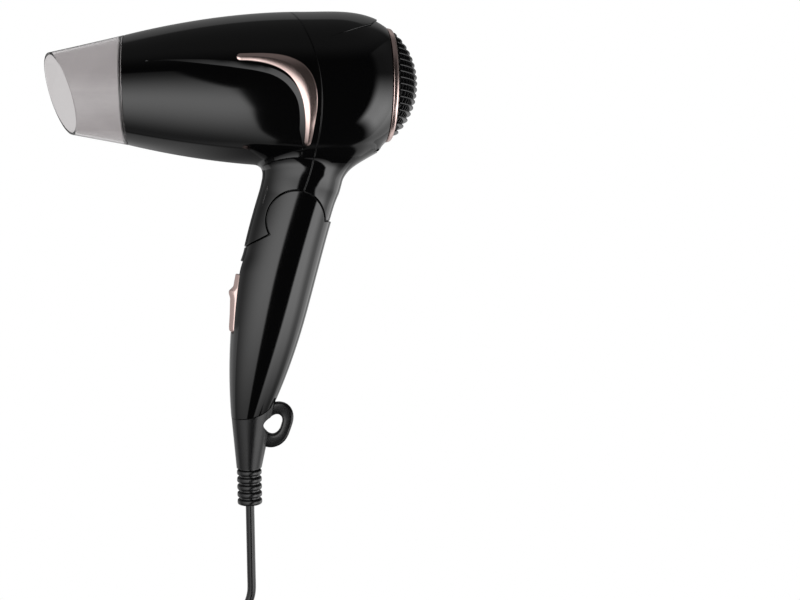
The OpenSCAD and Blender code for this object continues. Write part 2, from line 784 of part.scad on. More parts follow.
// Cord guard: collar, hanging loop and ribbed strain relief
guard_point = [-grip_set, -grip_len];
guard_x = hinge_x + guard_point[0] * cos(grip_tilt) + guard_point[1] * sin(grip_tilt);
seam_z = hinge_z - guard_point[0] * sin(grip_tilt) + guard_point[1] * cos(grip_tilt) + seam_up;
collar_len = 30.8;
collar_r = 7.5;
boot_ribs = 5;
boot_pitch = 4.1;
boot_groove = 1.3;
boot_top = seam_z - collar_len;
boot_end = boot_top - boot_ribs * boot_pitch;
collar_rim = 9;
collar_mid = 16;
loop_at = [guard_x + collar_r + loop_hole_r + 1.6, seam_z - 7.6];
spigot_up = 9;
spigot_half = 4.6;
module boot_rib(z) {
    translate([guard_x, 0, z]) rotate_extrude() polygon([[0, 0], [boot_r - boot_groove, 0],
        [boot_r - boot_groove, -boot_pitch * 0.3], [boot_r - 0.3, -boot_pitch * 0.36],
        [boot_r, -boot_pitch * 0.5], [boot_r, -boot_pitch * 0.9], [boot_r - 0.3, -boot_pitch],
        [0, -boot_pitch]]);
}
module seam_slice() {
    // The grip's own outline at the seam, a little inside it
    intersection() {
        on_grip() grip_loft(grip_len - collar_len, grip_low, 8, 0.1);
        translate([guard_x, 0, seam_z]) rotate([0, -seam_rise, 0])
            translate([0, 0, -1.05]) cube([far, far, 2], center = true);
    }
}
module cord_guard() {
    color(soft_black) difference() {
        union() {
            hull() {
                seam_slice();
                translate([guard_x, 0, seam_z - collar_mid]) cylinder(r = collar_rim - 0.6, h = 1, $fn = 32);
            }
            translate([guard_x, 0, boot_top])
                cylinder(r1 = collar_r, r2 = collar_rim - 0.6, h = collar_len - collar_mid + 1);
            for (i = [0:boot_ribs - 1]) boot_rib(boot_top - i * boot_pitch + tiny);
            difference() {
                translate([loop_at[0], 0, loop_at[1]]) rotate([90, 0, 0])
                    cylinder(r = loop_r, h = loop_t, center = true);
                seam_cut(1);
            }
            translate([guard_x, 0, seam_z]) rotate([0, grip_tilt, 0]) translate([0, 0, -8])
                cylinder(r = spigot_half, h = 8 + spigot_up);
        }
        translate([loop_at[0], 0, loop_at[1]]) rotate([90, 0, 0])
            cylinder(r = loop_hole_r, h = far, center = true);
        translate([guard_x, 0, boot_end - 1]) cylinder(r = cord_d / 2, h = 9);
    }
}
module cord_clamp() {
    color("#3a3a3d") translate([guard_x, 0, seam_z]) rotate([0, grip_tilt, 0])
        translate([0, 0, spigot_up + 2.5 + seat_clear]) cube([9, 10, 5], center = true);
}
lead_r = 0.9;
lead_set = 2.4;
// The leads leave the clamp this far in front of its middle, clear of the lower screw post
lead_shift = 2.5;
module rod(from, to, r) {
    way = to - from;
    translate(from) rotate([0, acos(way[2] / norm(way)), atan2(way[1], way[0])])
        cylinder(r = r, h = norm(way));
}
module grip_leads() {
    clamp_top = grip_len - spigot_up - 5 - 2 * seat_clear - seam_up;
    low = [-grip_set - lead_shift, 0, -clamp_top];
    switch_foot = -slide_s - switch_drop - switch_len / 2 + slider_travel / 2;
    high = [-slide_n + switch_depth / 2 + 3, 0, switch_foot - 0.6];
    color("#8a3a33") on_grip() for (side = [-1, 1])
        rod(low + [0, side * lead_set, 0], high + [0, side * lead_set, 0], lead_r);
}

// Cord: points relative to where it leaves the strain relief, chosen by hand
cord_exit = [guard_x, 0, boot_end];
drop_route = [[0, 0, 8], [0, 0, 0], [0, 0, -14], [0, 0, -28], [0, 0, -40], [0, 0, -47], [-0.4, 0, -51],
    [-1.6, 0, -55], [-3.5, 0, -58.6], [-6.2, 0, -61.9], [-9.3, 0, -64.5], [-13, 0, -66.4],
    [-17, 0, -67.6], [-21, 0, -68], [-23, 0, -68]];
coil_start = [-28, 0, -68];
tail_rise = [0, 0, 0.3, 1, 2.1, 3, 3.3, 3.3];
tail_step = 4;
cord_sides = 10;
coil_sides = 6;
coil_rings = 24;
layer_turns = 1.75;
climb_turns = 0.5;
layers = 4;
coil_turns = layers * layer_turns + (layers - 1) * climb_turns;
coil_center = cord_exit + coil_start + [0, -coil_r, 0];
function coil_layer(t) = min(layers - 1, floor(t / (layer_turns + climb_turns) + tiny / 10));
function coil_spot(t) = t - coil_layer(t) * (layer_turns + climb_turns);
function coil_sink(t) = coil_layer(t) + max(0, coil_spot(t) - layer_turns) / climb_turns;
function coil_reach(t) = let (in = min(coil_spot(t), layer_turns))
    coil_r - coil_pitch * (coil_layer(t) % 2 == 0 ? in : layer_turns - in);
function coil_point(t) = coil_center + [coil_reach(t) * cos(90 + 360 * t),
    coil_reach(t) * sin(90 + 360 * t), -coil_pitch * coil_sink(t)];
coil_steps = coil_turns * coil_rings;
coil_wind = [for (i = [0:coil_steps]) coil_point(i / coil_rings)];
coil_low = coil_wind[coil_steps];
coil_line = concat([coil_wind[0] + [cord_d + 0.2, 0, 0], coil_wind[0] + [1, 0, 0]],
    [for (i = [1:coil_steps - 1]) coil_wind[i]], [coil_low - [1, 0, 0], coil_low + [cord_d + 0.2, 0, 0]]);
// Least distance between points of the winding that are over a third of a turn apart
coil_gap = min([for (i = [0:coil_steps], j = [i + 8:1:coil_steps])
    norm(coil_wind[i] - coil_wind[j])]) - cord_d;
echo("least gap of the cord coil to itself", coil_gap);
wire_pitch_gap = (wind_to - wind_from) / wire_turns - 2 * wire_r;
echo("least gap of the heating coil to itself", wire_pitch_gap);
tail_line = [for (i = [0:len(tail_rise) - 1])
    coil_low + [cord_d + 0.2 + i * tail_step, 0, tail_rise[i]]];
tail_end = tail_line[len(tail_rise) - 1];

// A tube swept along points; side is a direction that the line never follows
function line_way(p, i) = let (d = p[min(len(p) - 1, i + 1)] - p[max(0, i - 1)]) d / norm(d);
function tube_ring(p, i, r, sides, side) = let (w = line_way(p, i), a = cross(w, side),
        u = a / norm(a), v = cross(w, u))
    [for (j = [0:sides - 1]) p[i] + r * (cos(360 * j / sides) * u + sin(360 * j / sides) * v)];
module tube(p, r, sides, side) {
    points = [for (i = [0:len(p) - 1]) each tube_ring(p, i, r, sides, side)];
    polyhedron(points, skin(len(p), sides));
}
module mains_cord() {
    color(soft_black) tube([for (q = drop_route) cord_exit + q], cord_d / 2, cord_sides, [0, 1, 0]);
}
module cord_coil() {
    color(soft_black) tube(coil_line, cord_d / 2, coil_sides, [0, 0, 1]);
}
module cord_tail() {
    color(soft_black) tube(tail_line, cord_d / 2, cord_sides, [0, 1, 0]);
}

// Tie: a band round the coil's bundle, on the side away from the drop
tie_t = 1;
tie_gap = 0.3;
tie_w = 8;
module tie_block(grow, long) {
    inner = coil_r - coil_pitch * layer_turns;
    wide = coil_r - inner + cord_d + 2 * grow;
    high = coil_pitch * (layers - 1) + cord_d + 2 * grow;
    translate(coil_center + [-(coil_r + inner) / 2, 0, -coil_pitch * (layers - 1) / 2])
        cube([wide, long, high], center = true);
}
module cord_tie() {
    color("#1d1d1f") difference() {
        tie_block(tie_gap + tie_t, tie_w);
        tie_block(tie_gap, tie_w + 2);
    }
}

// Two-pin plug on the floor in line with the cord's tail
plug_len = 36;
plug_w = 35;
plug_t = 14;
plug_neck = 5;
plug_socket = 8;
module plug_body() {
    color(soft_black) translate(tail_end) difference() {
        union() {
            hull() {
                translate([plug_len - 4, 0, 0]) cube([8, plug_w - 6, plug_t - 6], center = true);
                translate([plug_len - 4, 0, 0]) cube([8, plug_w - 9, plug_t], center = true);
                translate([plug_len - 4, 0, 0]) cube([8, plug_w, plug_t - 9], center = true);
                translate([9, 0, 0]) rotate([0, 90, 0]) cylinder(r = plug_neck + 1, h = 1, $fn = 32);
            }
            rotate([0, 90, 0]) cylinder(r1 = plug_neck - 0.8, r2 = plug_neck + 1, h = 10);
        }
        translate([plug_len - plug_socket, 0, 0]) rotate([0, 90, 0]) for (side = [-1, 1])
            translate([0, side * plug_pitch / 2, 0]) cylinder(r = plug_pin_d / 2 + 0.02, h = far);
    }
}
module plug_pins() {
    color(steel) translate(tail_end + [plug_len - plug_socket, 0, 0]) rotate([0, 90, 0])
        for (side = [-1, 1]) translate([0, side * plug_pitch / 2, 0]) {
            cylinder(r = plug_pin_d / 2, h = plug_socket + plug_pin_len - 1);
            translate([0, 0, plug_socket + plug_pin_len - 1])
                cylinder(r1 = plug_pin_d / 2, r2 = plug_pin_d / 2 - 1, h = 1);
        }
}

front_shell();
rear_shell();
trim_left();
trim_right();
intake_ring();
intake_grille();
motor_can();
motor_cap();
motor_mount();
rectifier_board();
mica_upright();
mica_flat();
heating_coil();
mica_sleeve();
thermal_cutout();
outlet_grille();
neck_screw();
motor_shaft();
fan();
nozzle();
grip_left();
grip_right();
hinge_pin();
hinge_washers();
grip_screws();
switch_body();
cord_clamp();
grip_leads();
switch_slider();
cord_guard();
mains_cord();
cord_coil();
cord_tail();
cord_tie();
plug_body();
plug_pins();
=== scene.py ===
import bpy
import numpy as np
from mathutils import Matrix


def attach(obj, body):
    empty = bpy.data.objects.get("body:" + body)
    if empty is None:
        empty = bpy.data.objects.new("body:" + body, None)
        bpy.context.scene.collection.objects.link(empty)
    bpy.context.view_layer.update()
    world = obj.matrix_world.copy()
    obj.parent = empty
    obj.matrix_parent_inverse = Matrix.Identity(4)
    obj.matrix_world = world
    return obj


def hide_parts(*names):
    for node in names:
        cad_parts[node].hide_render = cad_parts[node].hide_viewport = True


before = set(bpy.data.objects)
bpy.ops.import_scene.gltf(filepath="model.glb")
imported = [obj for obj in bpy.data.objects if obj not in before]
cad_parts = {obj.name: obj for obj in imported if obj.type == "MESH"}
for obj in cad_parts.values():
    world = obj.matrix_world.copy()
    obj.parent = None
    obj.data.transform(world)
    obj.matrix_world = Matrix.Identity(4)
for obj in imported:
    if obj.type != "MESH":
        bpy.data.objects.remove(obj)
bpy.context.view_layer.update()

# Lengths below are in millimetres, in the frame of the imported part; meshes are stored in metres
MM = 0.001
HINGE_X, HINGE_Z = 16.9987, 59.7719  # axis of the fold
AXIS_Z, WIDE_X = 132.0719, 21.9987  # the barrel's axis, and the head's widest place on it
OUTLET_U, REAR_U = -94.7, 46.6  # both ends of the head, from its widest place
TILT = np.radians(12)  # lean of the grip
GUARD_X, BOOT_TOP, BOOT_END = -10.6035, -76.5855, -97.0855
LOOP_X, LOOP_Z = 4.1965, -53.3855
FLOOR_Z = -186.7


def added(name, data):
    """A new object in the scene."""
    thing = bpy.data.objects.new(name, data)
    bpy.context.scene.collection.objects.link(thing)
    return thing


def turn_to(thing, side, up, back, place):
    """Sets an object's three axes and its place, in metres."""
    matrix = np.eye(4)
    matrix[:3] = np.stack([side, up, back, place], 1)
    thing.matrix_world = Matrix(matrix.tolist())


def make_camera():
    """Camera of the photo: half a metre in front of the dryer, turned a little right and down."""
    yaw, pitch, roll = np.radians([5.2157, 2.49965, -1.0])
    ahead = np.array([np.sin(yaw) * np.cos(pitch), np.cos(yaw) * np.cos(pitch), -np.sin(pitch)])
    side = np.array([np.cos(yaw), -np.sin(yaw), 0])
    up = np.cross(side, ahead)
    right = np.cos(roll) * side + np.sin(roll) * up
    top = -np.sin(roll) * side + np.cos(roll) * up
    data = bpy.data.cameras.new("camera")
    data.lens = 44.325
    data.sensor_width = 36
    data.shift_x = 0.1
    data.clip_start = 0.02
    cam = added("camera", data)
    turn_to(cam, right, top, -ahead, np.array([-19.2087, -546.854, 40.0113]) * MM)
    bpy.context.scene.camera = cam


make_camera()


class Nodes:
    """Math and links in a node tree."""

    def __init__(self, tree):
        self.nodes, self.link = tree.nodes, tree.links.new

    def put(self, socket, value):
        """A number becomes the socket's value, anything else a link."""
        if isinstance(value, (int, float)):
            socket.default_value = value
        else:
            self.link(value, socket)

    def calc(self, kind, *values):
        """A math node on the values, as its output."""
        node = self.nodes.new("ShaderNodeMath")
        node.operation = kind
        for socket, value in zip(node.inputs, values):
            self.put(socket, value)
        return node.outputs[0]

    def straight(self):
        """1 for rays from the camera and through clear walls, and 0 for others."""
        path = self.nodes.new("ShaderNodeLightPath")
        return self.calc("MAXIMUM", path.outputs["Is Camera Ray"], path.outputs["Is Transmission Ray"])


# Materials
FINE_SHARE, GRAIN_MEAN = 0.35, 0.67  # weight of the fine noise, and about the mean of both
GRAIN_DEPTH = 0.0002  # metres


def grain_group():
    """Surface grain: a fine and a broad noise field on the given coordinates mix two colours,
    spread the roughness round its middle and give a bump height."""
    tree = bpy.data.node_groups.new("surface_grain", "ShaderNodeTree")
    for way, kind, names in (("INPUT", "Vector", ["Vector"]), ("INPUT", "Color", ["Light", "Dark"]),
                             ("INPUT", "Float", ["Fine", "Broad", "Rough", "Spread"]),
                             ("OUTPUT", "Color", ["Color"]), ("OUTPUT", "Float", ["Roughness", "Height"])):
        for name in names:
            tree.interface.new_socket(name=name, in_out=way, socket_type="NodeSocket" + kind)
    n = Nodes(tree)
    nodes, link = n.nodes, n.link
    into, out = nodes.new("NodeGroupInput"), nodes.new("NodeGroupOutput")
    fine, broad = nodes.new("ShaderNodeTexNoise"), nodes.new("ShaderNodeTexNoise")
    fine.inputs["Detail"].default_value = 3
    broad.inputs["Detail"].default_value = 5
    broad.inputs["Roughness"].default_value = 0.6
    for noise, scale in ((fine, "Fine"), (broad, "Broad")):
        link(into.outputs["Vector"], noise.inputs["Vector"])
        link(into.outputs[scale], noise.inputs["Scale"])
    mix = nodes.new("ShaderNodeMix")
    mix.data_type = "RGBA"
    link(broad.outputs["Fac"], mix.inputs["Factor"])
    link(into.outputs["Dark"], mix.inputs["A"])
    link(into.outputs["Light"], mix.inputs["B"])
    both = n.calc("MULTIPLY_ADD", fine.outputs["Fac"], FINE_SHARE, broad.outputs["Fac"])
    rough = n.calc("MULTIPLY_ADD", n.calc("SUBTRACT", both, GRAIN_MEAN), into.outputs["Spread"],
                   into.outputs["Rough"])
    link(mix.outputs["Result"], out.inputs["Color"])
    link(rough, out.inputs["Roughness"])
    link(fine.outputs["Fac"], out.inputs["Height"])
    return tree


GRAIN = grain_group()


def finish_of(name, light, dark, rough, spread, fine=900, broad=40, bump=0.0, **plain):
    """A material whose colour, roughness and bump come from the grain group; the rest is plain values."""
    mat = bpy.data.materials.new(name)
    mat.use_nodes = True
    nodes, link = mat.node_tree.nodes, mat.node_tree.links.new
    bsdf = nodes["Principled BSDF"]
    where, grain = nodes.new("ShaderNodeTexCoord"), nodes.new("ShaderNodeGroup")
    grain.node_tree = GRAIN
    link(where.outputs["Object"], grain.inputs["Vector"])
    grain.inputs["Light"].default_value = (*light, 1)
    grain.inputs["Dark"].default_value = (*dark, 1)
    for key, value in (("Fine", fine), ("Broad", broad), ("Rough", rough), ("Spread", spread)):
        grain.inputs[key].default_value = value
    link(grain.outputs["Color"], bsdf.inputs["Base Color"])
    link(grain.outputs["Roughness"], bsdf.inputs["Roughness"])
    if bump:
        height = nodes.new("ShaderNodeBump")
        height.inputs["Strength"].default_value = bump
        height.inputs["Distance"].default_value = GRAIN_DEPTH
        link(grain.outputs["Height"], height.inputs["Height"])
        link(height.outputs["Normal"], bsdf.inputs["Normal"])
    for key, value in plain.items():
        bsdf.inputs[key.replace("_", " ")].default_value = value
    return mat


GLOSS = finish_of("gloss_black", (0.0016, 0.0016, 0.0018), (0.001, 0.001, 0.0011), 0.075, 0.05, broad=25)
ROSE = finish_of("rose_gold", (0.84, 0.65, 0.61), (0.78, 0.58, 0.54), 0.24, 0.08, bump=0.02, Metallic=1.0)
SMOKE = finish_of("smoke_clear", (0.615, 0.594, 0.596), (0.575, 0.555, 0.557), 0.03, 0.03, broad=30,
                  Transmission_Weight=1.0, IOR=1.45)
SOFT = finish_of("soft_black", (0.006, 0.006, 0.0065), (0.004, 0.004, 0.0045), 0.26, 0.10, bump=0.08)
INNER = finish_of("inner_black", (0.022, 0.022, 0.024), (0.013, 0.013, 0.014), 0.45, 0.15, bump=0.08)
STEEL = finish_of("steel", (0.62, 0.62, 0.64), (0.5, 0.5, 0.52), 0.26, 0.1, fine=1500, Metallic=1.0)
BRASS = finish_of("pin_metal", (0.66, 0.64, 0.58), (0.56, 0.54, 0.49), 0.22, 0.1, fine=1500, Metallic=1.0)
WIRE = finish_of("heat_wire", (0.42, 0.40, 0.38), (0.30, 0.28, 0.27), 0.38, 0.1, Metallic=1.0)
MICA = finish_of("mica", (0.62, 0.53, 0.37), (0.46, 0.38, 0.25), 0.5, 0.2, fine=600, bump=0.2)
BOARD = finish_of("circuit_board", (0.03, 0.16, 0.07), (0.02, 0.10, 0.04), 0.42, 0.15, bump=0.1)
LEAD = finish_of("lead_insulation", (0.34, 0.05, 0.04), (0.24, 0.03, 0.03), 0.42, 0.1, bump=0.1)


# Meshes

def stack(*parts):
    """Coordinates, spread to one shape, as points."""
    return np.stack(np.broadcast_arrays(*parts), -1)


def circle(count):
    """Even angles once round, without the last."""
    return np.arange(count) / count * 2 * np.pi


def unit(v):
    """Each row over its length."""
    return v / (np.linalg.norm(v, axis=1)[:, None] + 1e-12)


def bent(c, power):
    """A cosine or sine raised to a power, with its sign kept."""
    return np.sign(c) * np.abs(c) ** power


def halved(low, high, rule, rounds):
    """Halves each range round by round and keeps its upper half where the rule holds at the middle."""
    for _ in range(rounds):
        mid = (low + high) / 2
        up = rule(mid)
        low, high = np.where(up, mid, low), np.where(up, high, mid)
    return low, high


def net(rows, cols, close_rows=False, close_cols=False):
    """Quads over a grid of points kept row by row."""
    i, j = np.meshgrid(np.arange(rows if close_rows else rows - 1),
                       np.arange(cols if close_cols else cols - 1), indexing="ij")
    k, m = (i + 1) % rows, (j + 1) % cols
    return np.stack([i * cols + j, k * cols + j, k * cols + m, i * cols + m], -1).reshape(-1, 4)


def sheet(points, close_rows=False):
    """Points of shape rows by columns by 3, closed across, as a mesh part; the sign of its volume turns it to
    face out."""
    flat = points.reshape(-1, 3)
    faces = net(*points.shape[:2], close_rows, True)
    a, b, c, d = ((flat - flat.mean(0))[faces[:, k]] for k in range(4))
    volume = (a * (np.cross(b, c) + np.cross(c, d))).sum()
    return flat, faces if volume > 0 else faces[:, ::-1]


def piece(name, parts, mat, body, replaces, sharp=35, normals=None):
    """One object from mesh parts, each points and faces, riding on a body."""
    points, faces, base = [], [], 0
    for part in parts:
        points.append(part[0])
        faces += (part[1] + base).tolist()
        base += len(part[0])
    mesh = bpy.data.meshes.new(name)
    mesh.from_pydata((np.concatenate(points) * MM).tolist(), [], faces)
    mesh.polygons.foreach_set("use_smooth", np.ones(len(mesh.polygons), bool))
    if normals is not None:
        mesh.normals_split_custom_set_from_vertices(normals.tolist())
    else:
        mesh.set_sharp_from_angle(angle=np.radians(sharp))
    mesh.materials.append(mat)
    thing = added(name, mesh)
    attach(thing, body)
    if replaces:
        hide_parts(*replaces)
    return thing


def rounded(corners, radius, steps=5):
    """A closed outline with each corner replaced by a quadratic arc that starts that far along both sides."""
    p = np.asarray(corners, float)
    a, b = (p + unit(way) * np.minimum(radius, 0.45 * np.linalg.norm(way, axis=1))[:, None]
            for way in (np.roll(p, 1, 0) - p, np.roll(p, -1, 0) - p))
    t = np.linspace(0, 1, steps)[None, :, None]
    arc = (1 - t) ** 2 * a[:, None] + 2 * t * (1 - t) * p[:, None] + t ** 2 * b[:, None]
    return arc.reshape(-1, p.shape[1])


def flow(points, steps):
    """A smooth line through points: the cubic whose slope at each one runs between its neighbours."""
    p = np.asarray(points, float)
    p = np.concatenate([2 * p[:1] - p[1:2], p, 2 * p[-1:] - p[-2:-1]])
    a, b, c, d = (q[:, None] for q in (p[:-3], p[1:-2], p[2:-1], p[3:]))
    t = (np.arange(steps) / steps)[None, :, None]
    way = 0.5 * (2 * b + (c - a) * t + (2 * a - 5 * b + 4 * c - d) * t ** 2
                 + (3 * b - a - 3 * c + d) * t ** 3)
    return np.concatenate([way.reshape(-1, p.shape[1]), p[-2:-1]])


def spun(outline):
    """A turned piece on the barrel's axis: each outline point (radius, place) goes round in a circle."""
    a = circle(128)
    r, u = outline[:, :1], outline[:, 1:]
    points = stack(WIDE_X + u + 0 * a, r * np.sin(a), axis_at(REAR_U + 0 * u) + r * np.cos(a))
    return sheet(points, True)


# Trimmed surfaces: a grid in two parameters, cut where a rule on the points turns negative

def divide(shape, uv, p, tri, rule, level, both):
    """Splits the triangles where rule equals level, each new point found by halving along its edge."""
    g = rule(p) - level
    inside = g >= 0
    count = inside[tri].sum(1)
    keep = [tri[count == 3]]
    if both:
        keep.append(tri[count == 0])
    cut = tri[(count == 1) | (count == 2)]
    if not len(cut):
        return uv, p, np.concatenate(keep)
    held = inside[cut]
    lone_in = held.sum(1) == 1
    lone = np.where(lone_in[:, None], held, ~held).argmax(1)
    row = np.arange(len(cut))
    a, b, c = (cut[row, (lone + k) % 3] for k in range(3))
    edge = np.sort(np.concatenate([np.stack([a, b], 1), np.stack([a, c], 1)]), 1)
    edge, index = np.unique(edge, axis=0, return_inverse=True)
    index = index.ravel()
    start, way = uv[edge[:, 0]], uv[edge[:, 1]] - uv[edge[:, 0]]
    first = inside[edge[:, 0]]
    low, high = halved(np.zeros(len(edge)), np.ones(len(edge)),
                       lambda t: (rule(shape(start + way * t[:, None])) - level >= 0) == first, 16)
    new = start + way * ((low + high) / 2)[:, None]
    at = len(uv) + index
    ab, ac = at[:len(cut)], at[len(cut):]
    tip = np.stack([a, ab, ac], 1)
    rest = np.concatenate([np.stack([ab, b, c], 1), np.stack([ab, c, ac], 1)])
    twice = np.concatenate([lone_in, lone_in])
    keep += [tip, rest] if both else [tip[lone_in], rest[~twice]]
    return np.concatenate([uv, new]), np.concatenate([p, shape(new)]), np.concatenate(keep)


def trimmed(shape, us, vs, cuts, lip=1.4):
    """The surface shape(u, v) over a grid, trimmed by cuts (rule, edge radius), with each trimmed edge
    rounded as a quarter circle, or left as it is where the radius is 0, and folded in by lip."""
    u, v = np.meshgrid(us, vs, indexing="ij")
    uv = np.stack([u.ravel(), v.ravel()], 1)
    quad = net(len(us), len(vs))
    tri = np.concatenate([quad[:, [0, 1, 2]], quad[:, [0, 2, 3]]])
    p = shape(uv)
    for rule, edge in cuts:
        uv, p, tri = divide(shape, uv, p, tri, rule, 0, False)
        for level in (1.0, 0.6, 0.25, 0.07) if edge else ():
            uv, p, tri = divide(shape, uv, p, tri, rule, level * edge, True)
    used, tri = np.unique(tri, return_inverse=True)
    tri = tri.reshape(-1, 3)
    uv, p = uv[used], p[used]
    hu, hv = (us[1] - us[0]) * 0.2, (vs[1] - vs[0]) * 0.2
    along = shape(uv + [hu, 0]) - shape(uv - [hu, 0])
    across = shape(uv + [0, hv]) - shape(uv - [0, hv])
    n = unit(np.cross(along, across))
    sunk, lean = np.zeros(len(p)), n.copy()
    on_edge = np.zeros(len(p), bool)
    for rule, edge in cuts:
        g = np.maximum(rule(p), 0)
        slope = np.stack([rule(p + d) - rule(p - d) for d in np.eye(3) * 0.01], 1)
        slope = unit(slope - n * np.einsum("ij,ij->i", slope, n)[:, None])
        s = np.clip(1 - g / edge, 0, 1) if edge else 0 * g
        drop = edge * (1 - np.sqrt(1 - s ** 2))
        more = drop > sunk
        sunk = np.where(more, drop, sunk)
        lean = np.where(more[:, None], n * np.sqrt(1 - s ** 2)[:, None] - slope * s[:, None], lean)
        on_edge |= g < 1e-3
    out = p - n * sunk[:, None]
    _, first, index = np.unique(np.round(out, 3), axis=0, return_index=True, return_inverse=True)
    tri = index.ravel()[tri]
    out, n, lean, on_edge = out[first], n[first], lean[first], on_edge[first]
    tri = tri[(tri[:, 0] != tri[:, 1]) & (tri[:, 1] != tri[:, 2]) & (tri[:, 0] != tri[:, 2])]
    edges = np.concatenate([tri[:, [0, 1]], tri[:, [1, 2]], tri[:, [2, 0]]])
    _, where, count = np.unique(np.sort(edges, 1), axis=0, return_inverse=True, return_counts=True)
    rim = edges[count[where.ravel()] == 1]
    rim = rim[on_edge[rim].all(1)]
    ends, spot = np.unique(rim, return_inverse=True)
    spot = spot.reshape(-1, 2) + len(out)
    fold = np.concatenate([np.stack([rim[:, 1], rim[:, 0], spot[:, 0]], 1),
                           np.stack([rim[:, 1], spot[:, 0], spot[:, 1]], 1)])
    points = np.concatenate([out, out[ends] - n[ends] * lip])
    return points, np.concatenate([tri, fold]), np.concatenate([lean, lean[ends]])


def mirrored(patch):
    """The same patch on the far side of the dryer."""
    points, faces, lean = patch
    return points * [1, -1, 1], faces[:, ::-1], lean * [1, -1, 1]


def trimmed_piece(name, patches, mat, body, replaces):
    """One object from trimmed surfaces, which bring their normals."""
    points, faces, lean = zip(*patches)
    return piece(name, list(zip(points, faces)), mat, body, replaces, normals=np.concatenate(lean))


# Forms that the shells share
HEAD_R, REAR_LEN = 41.7, 48  # widest radius, and the length over which the rear draws in
NECK_TOP = 47  # height of the neck's end inside the head, over the hinge
OUTLINE = 2.3  # power of the grip's outline
SLIDE_X, SLIDE_Z, SLIDE_LEAN = -19.3, -49.9, np.radians(-4.5)  # the switch in the grip's frame


def head_radius(u):
    """The widest radius, less 12.5 mm at the outlet and 11.4 mm at the rear, by a power of the way there."""
    ahead, behind = np.minimum(u, 0), np.maximum(u, 0)
    return HEAD_R - np.where(u < 0, 12.5 * np.abs(ahead / OUTLET_U) ** 1.85,
                             11.4 * (behind / REAR_LEN) ** 3.5)


def axis_at(u):
    """Height of the middle of the head's section, which rises a little towards the intake."""
    return AXIS_Z + 2.4 * np.clip(u / REAR_LEN, 0, 1.5) ** 1.6


def swung(x, z, a):
    """Turns x and z by an angle: x cos + z sin, and z cos less x sin."""
    return x * np.cos(a) + z * np.sin(a), z * np.cos(a) - x * np.sin(a)


def to_grip(p):
    """Frame of the grip: x to the back and z up along it, from the hinge."""
    return swung(p[..., 0] - HINGE_X, p[..., 2] - HINGE_Z, -TILT)


def from_grip(x, y, z):
    """Back from the grip's frame to the part's."""
    c, s = np.cos(TILT), np.sin(TILT)
    return stack(HINGE_X + x * c + z * s, y, HINGE_Z - x * s + z * c)


def to_slide(p):
    """Frame of the switch, which leans along the front of the grip."""
    x, z = to_grip(p)
    return swung(x - SLIDE_X, z - SLIDE_Z, -SLIDE_LEAN)


def from_slide(x, y, z):
    """Back from the switch's frame to the part's."""
    x, z = swung(x, z, SLIDE_LEAN)
    return from_grip(x + SLIDE_X, y, z + SLIDE_Z)


def smooth(t):
    """Step from 0 to 1 with level ends: three t squared less two t cubed."""
    t = np.clip(t, 0, 1)
    return t * t * (3 - 2 * t)


def section(s, neck):
    """Middle and half sizes of the grip's outline at a distance s below the hinge. The neck flares into the
    head, and between 27 and 12 mm above the hinge it steps down to fit into the grip."""
    middle = 4.2 - 4 * (np.maximum(0, 45 - np.maximum(s, -20)) / 65) ** 2
    taper = (np.maximum(0, s) / 113) ** 2.5
    half_w, half_d = (44.2 - 25 * taper) / 2, (37 - 17.8 * taper) / 2
    if not neck:
        return -middle, half_w, half_d
    flare = 17.8 * (np.clip(-s - 26, 0, 21) / 23) ** 1.73
    step = smooth((s + 27) / 15)
    return flare / 2 - middle, half_w + flare / 2 - step, half_d - 1.7 * step


def grip_point(s, a, neck=False, inset=0.0):
    """Point at angle a of the outline at s: the half sizes times cosine and sine, each raised to 2 over the
    outline's power."""
    middle, half_w, half_d = section(s, neck)
    x = middle + (half_w - inset) * bent(np.cos(a), 2 / OUTLINE)
    return from_grip(x, (half_d - inset) * bent(np.sin(a), 2 / OUTLINE), -s)


def off_head(p):
    """Distance off the head: the radius less the head's, over the length of its slope."""
    u = p[..., 0] - WIDE_X
    r = np.hypot(p[..., 1], p[..., 2] - axis_at(u))
    slope = (head_radius(u + 0.05) - head_radius(u - 0.05)) / 0.1
    return (r - head_radius(u)) / np.sqrt(1 + slope ** 2)


def off_neck(p):
    """Distance off the neck: the radius less that of the outline on the same ray, or the height over its top
    if that is more."""
    x, z = to_grip(p)
    middle, half_w, half_d = section(-z, True)
    x, y = np.abs(x - middle), np.abs(p[..., 1])
    share = ((x / half_w) ** OUTLINE + (y / half_d) ** OUTLINE) ** (1 / OUTLINE) + 1e-9
    return np.maximum((np.hypot(x, y) + 1e-9) * (1 - 1 / share), z - NECK_TOP)


BLEND = 6.0


def off_both(p):
    """Distance off head and neck joined: the lesser one, less a rounding where the two are close."""
    a, b = off_head(p), off_neck(p)
    return np.minimum(a, b) - np.maximum(BLEND - np.abs(a - b), 0) ** 2 / (4 * BLEND)


def settle(p):
    """Moves points onto the joined form along its slope."""
    near = np.abs(off_head(p) - off_neck(p)) < 2 * BLEND
    q = p[near]
    for _ in range(4):
        f = off_both(q)
        slope = np.stack([off_both(q + d) - off_both(q - d) for d in np.eye(3) * 0.02], -1) / 0.04
        q = q - slope * (f / np.maximum((slope ** 2).sum(-1), 0.2))[..., None]
    p = p.copy()
    p[near] = q
    return p


LEDGE = flow([(-57.5, 141.9), (-48.9, 142.3), (-37, 142), (-26.8, 141.5), (-18.4, 140.9), (-11.6, 139.9),
              (-4.9, 138.8), (0.1, 137.7), (5.2, 136.2), (10.2, 133.7), (14.4, 130.3), (17.7, 126.2),
              (19.9, 122.1), (21.2, 117.2), (21.7, 110.9), (21.5, 104.6), (20.6, 98)], 5)
LEDGE_WIDTH, LEDGE_SLOPE, LEDGE_FADE = 2.95, 0.24, 34


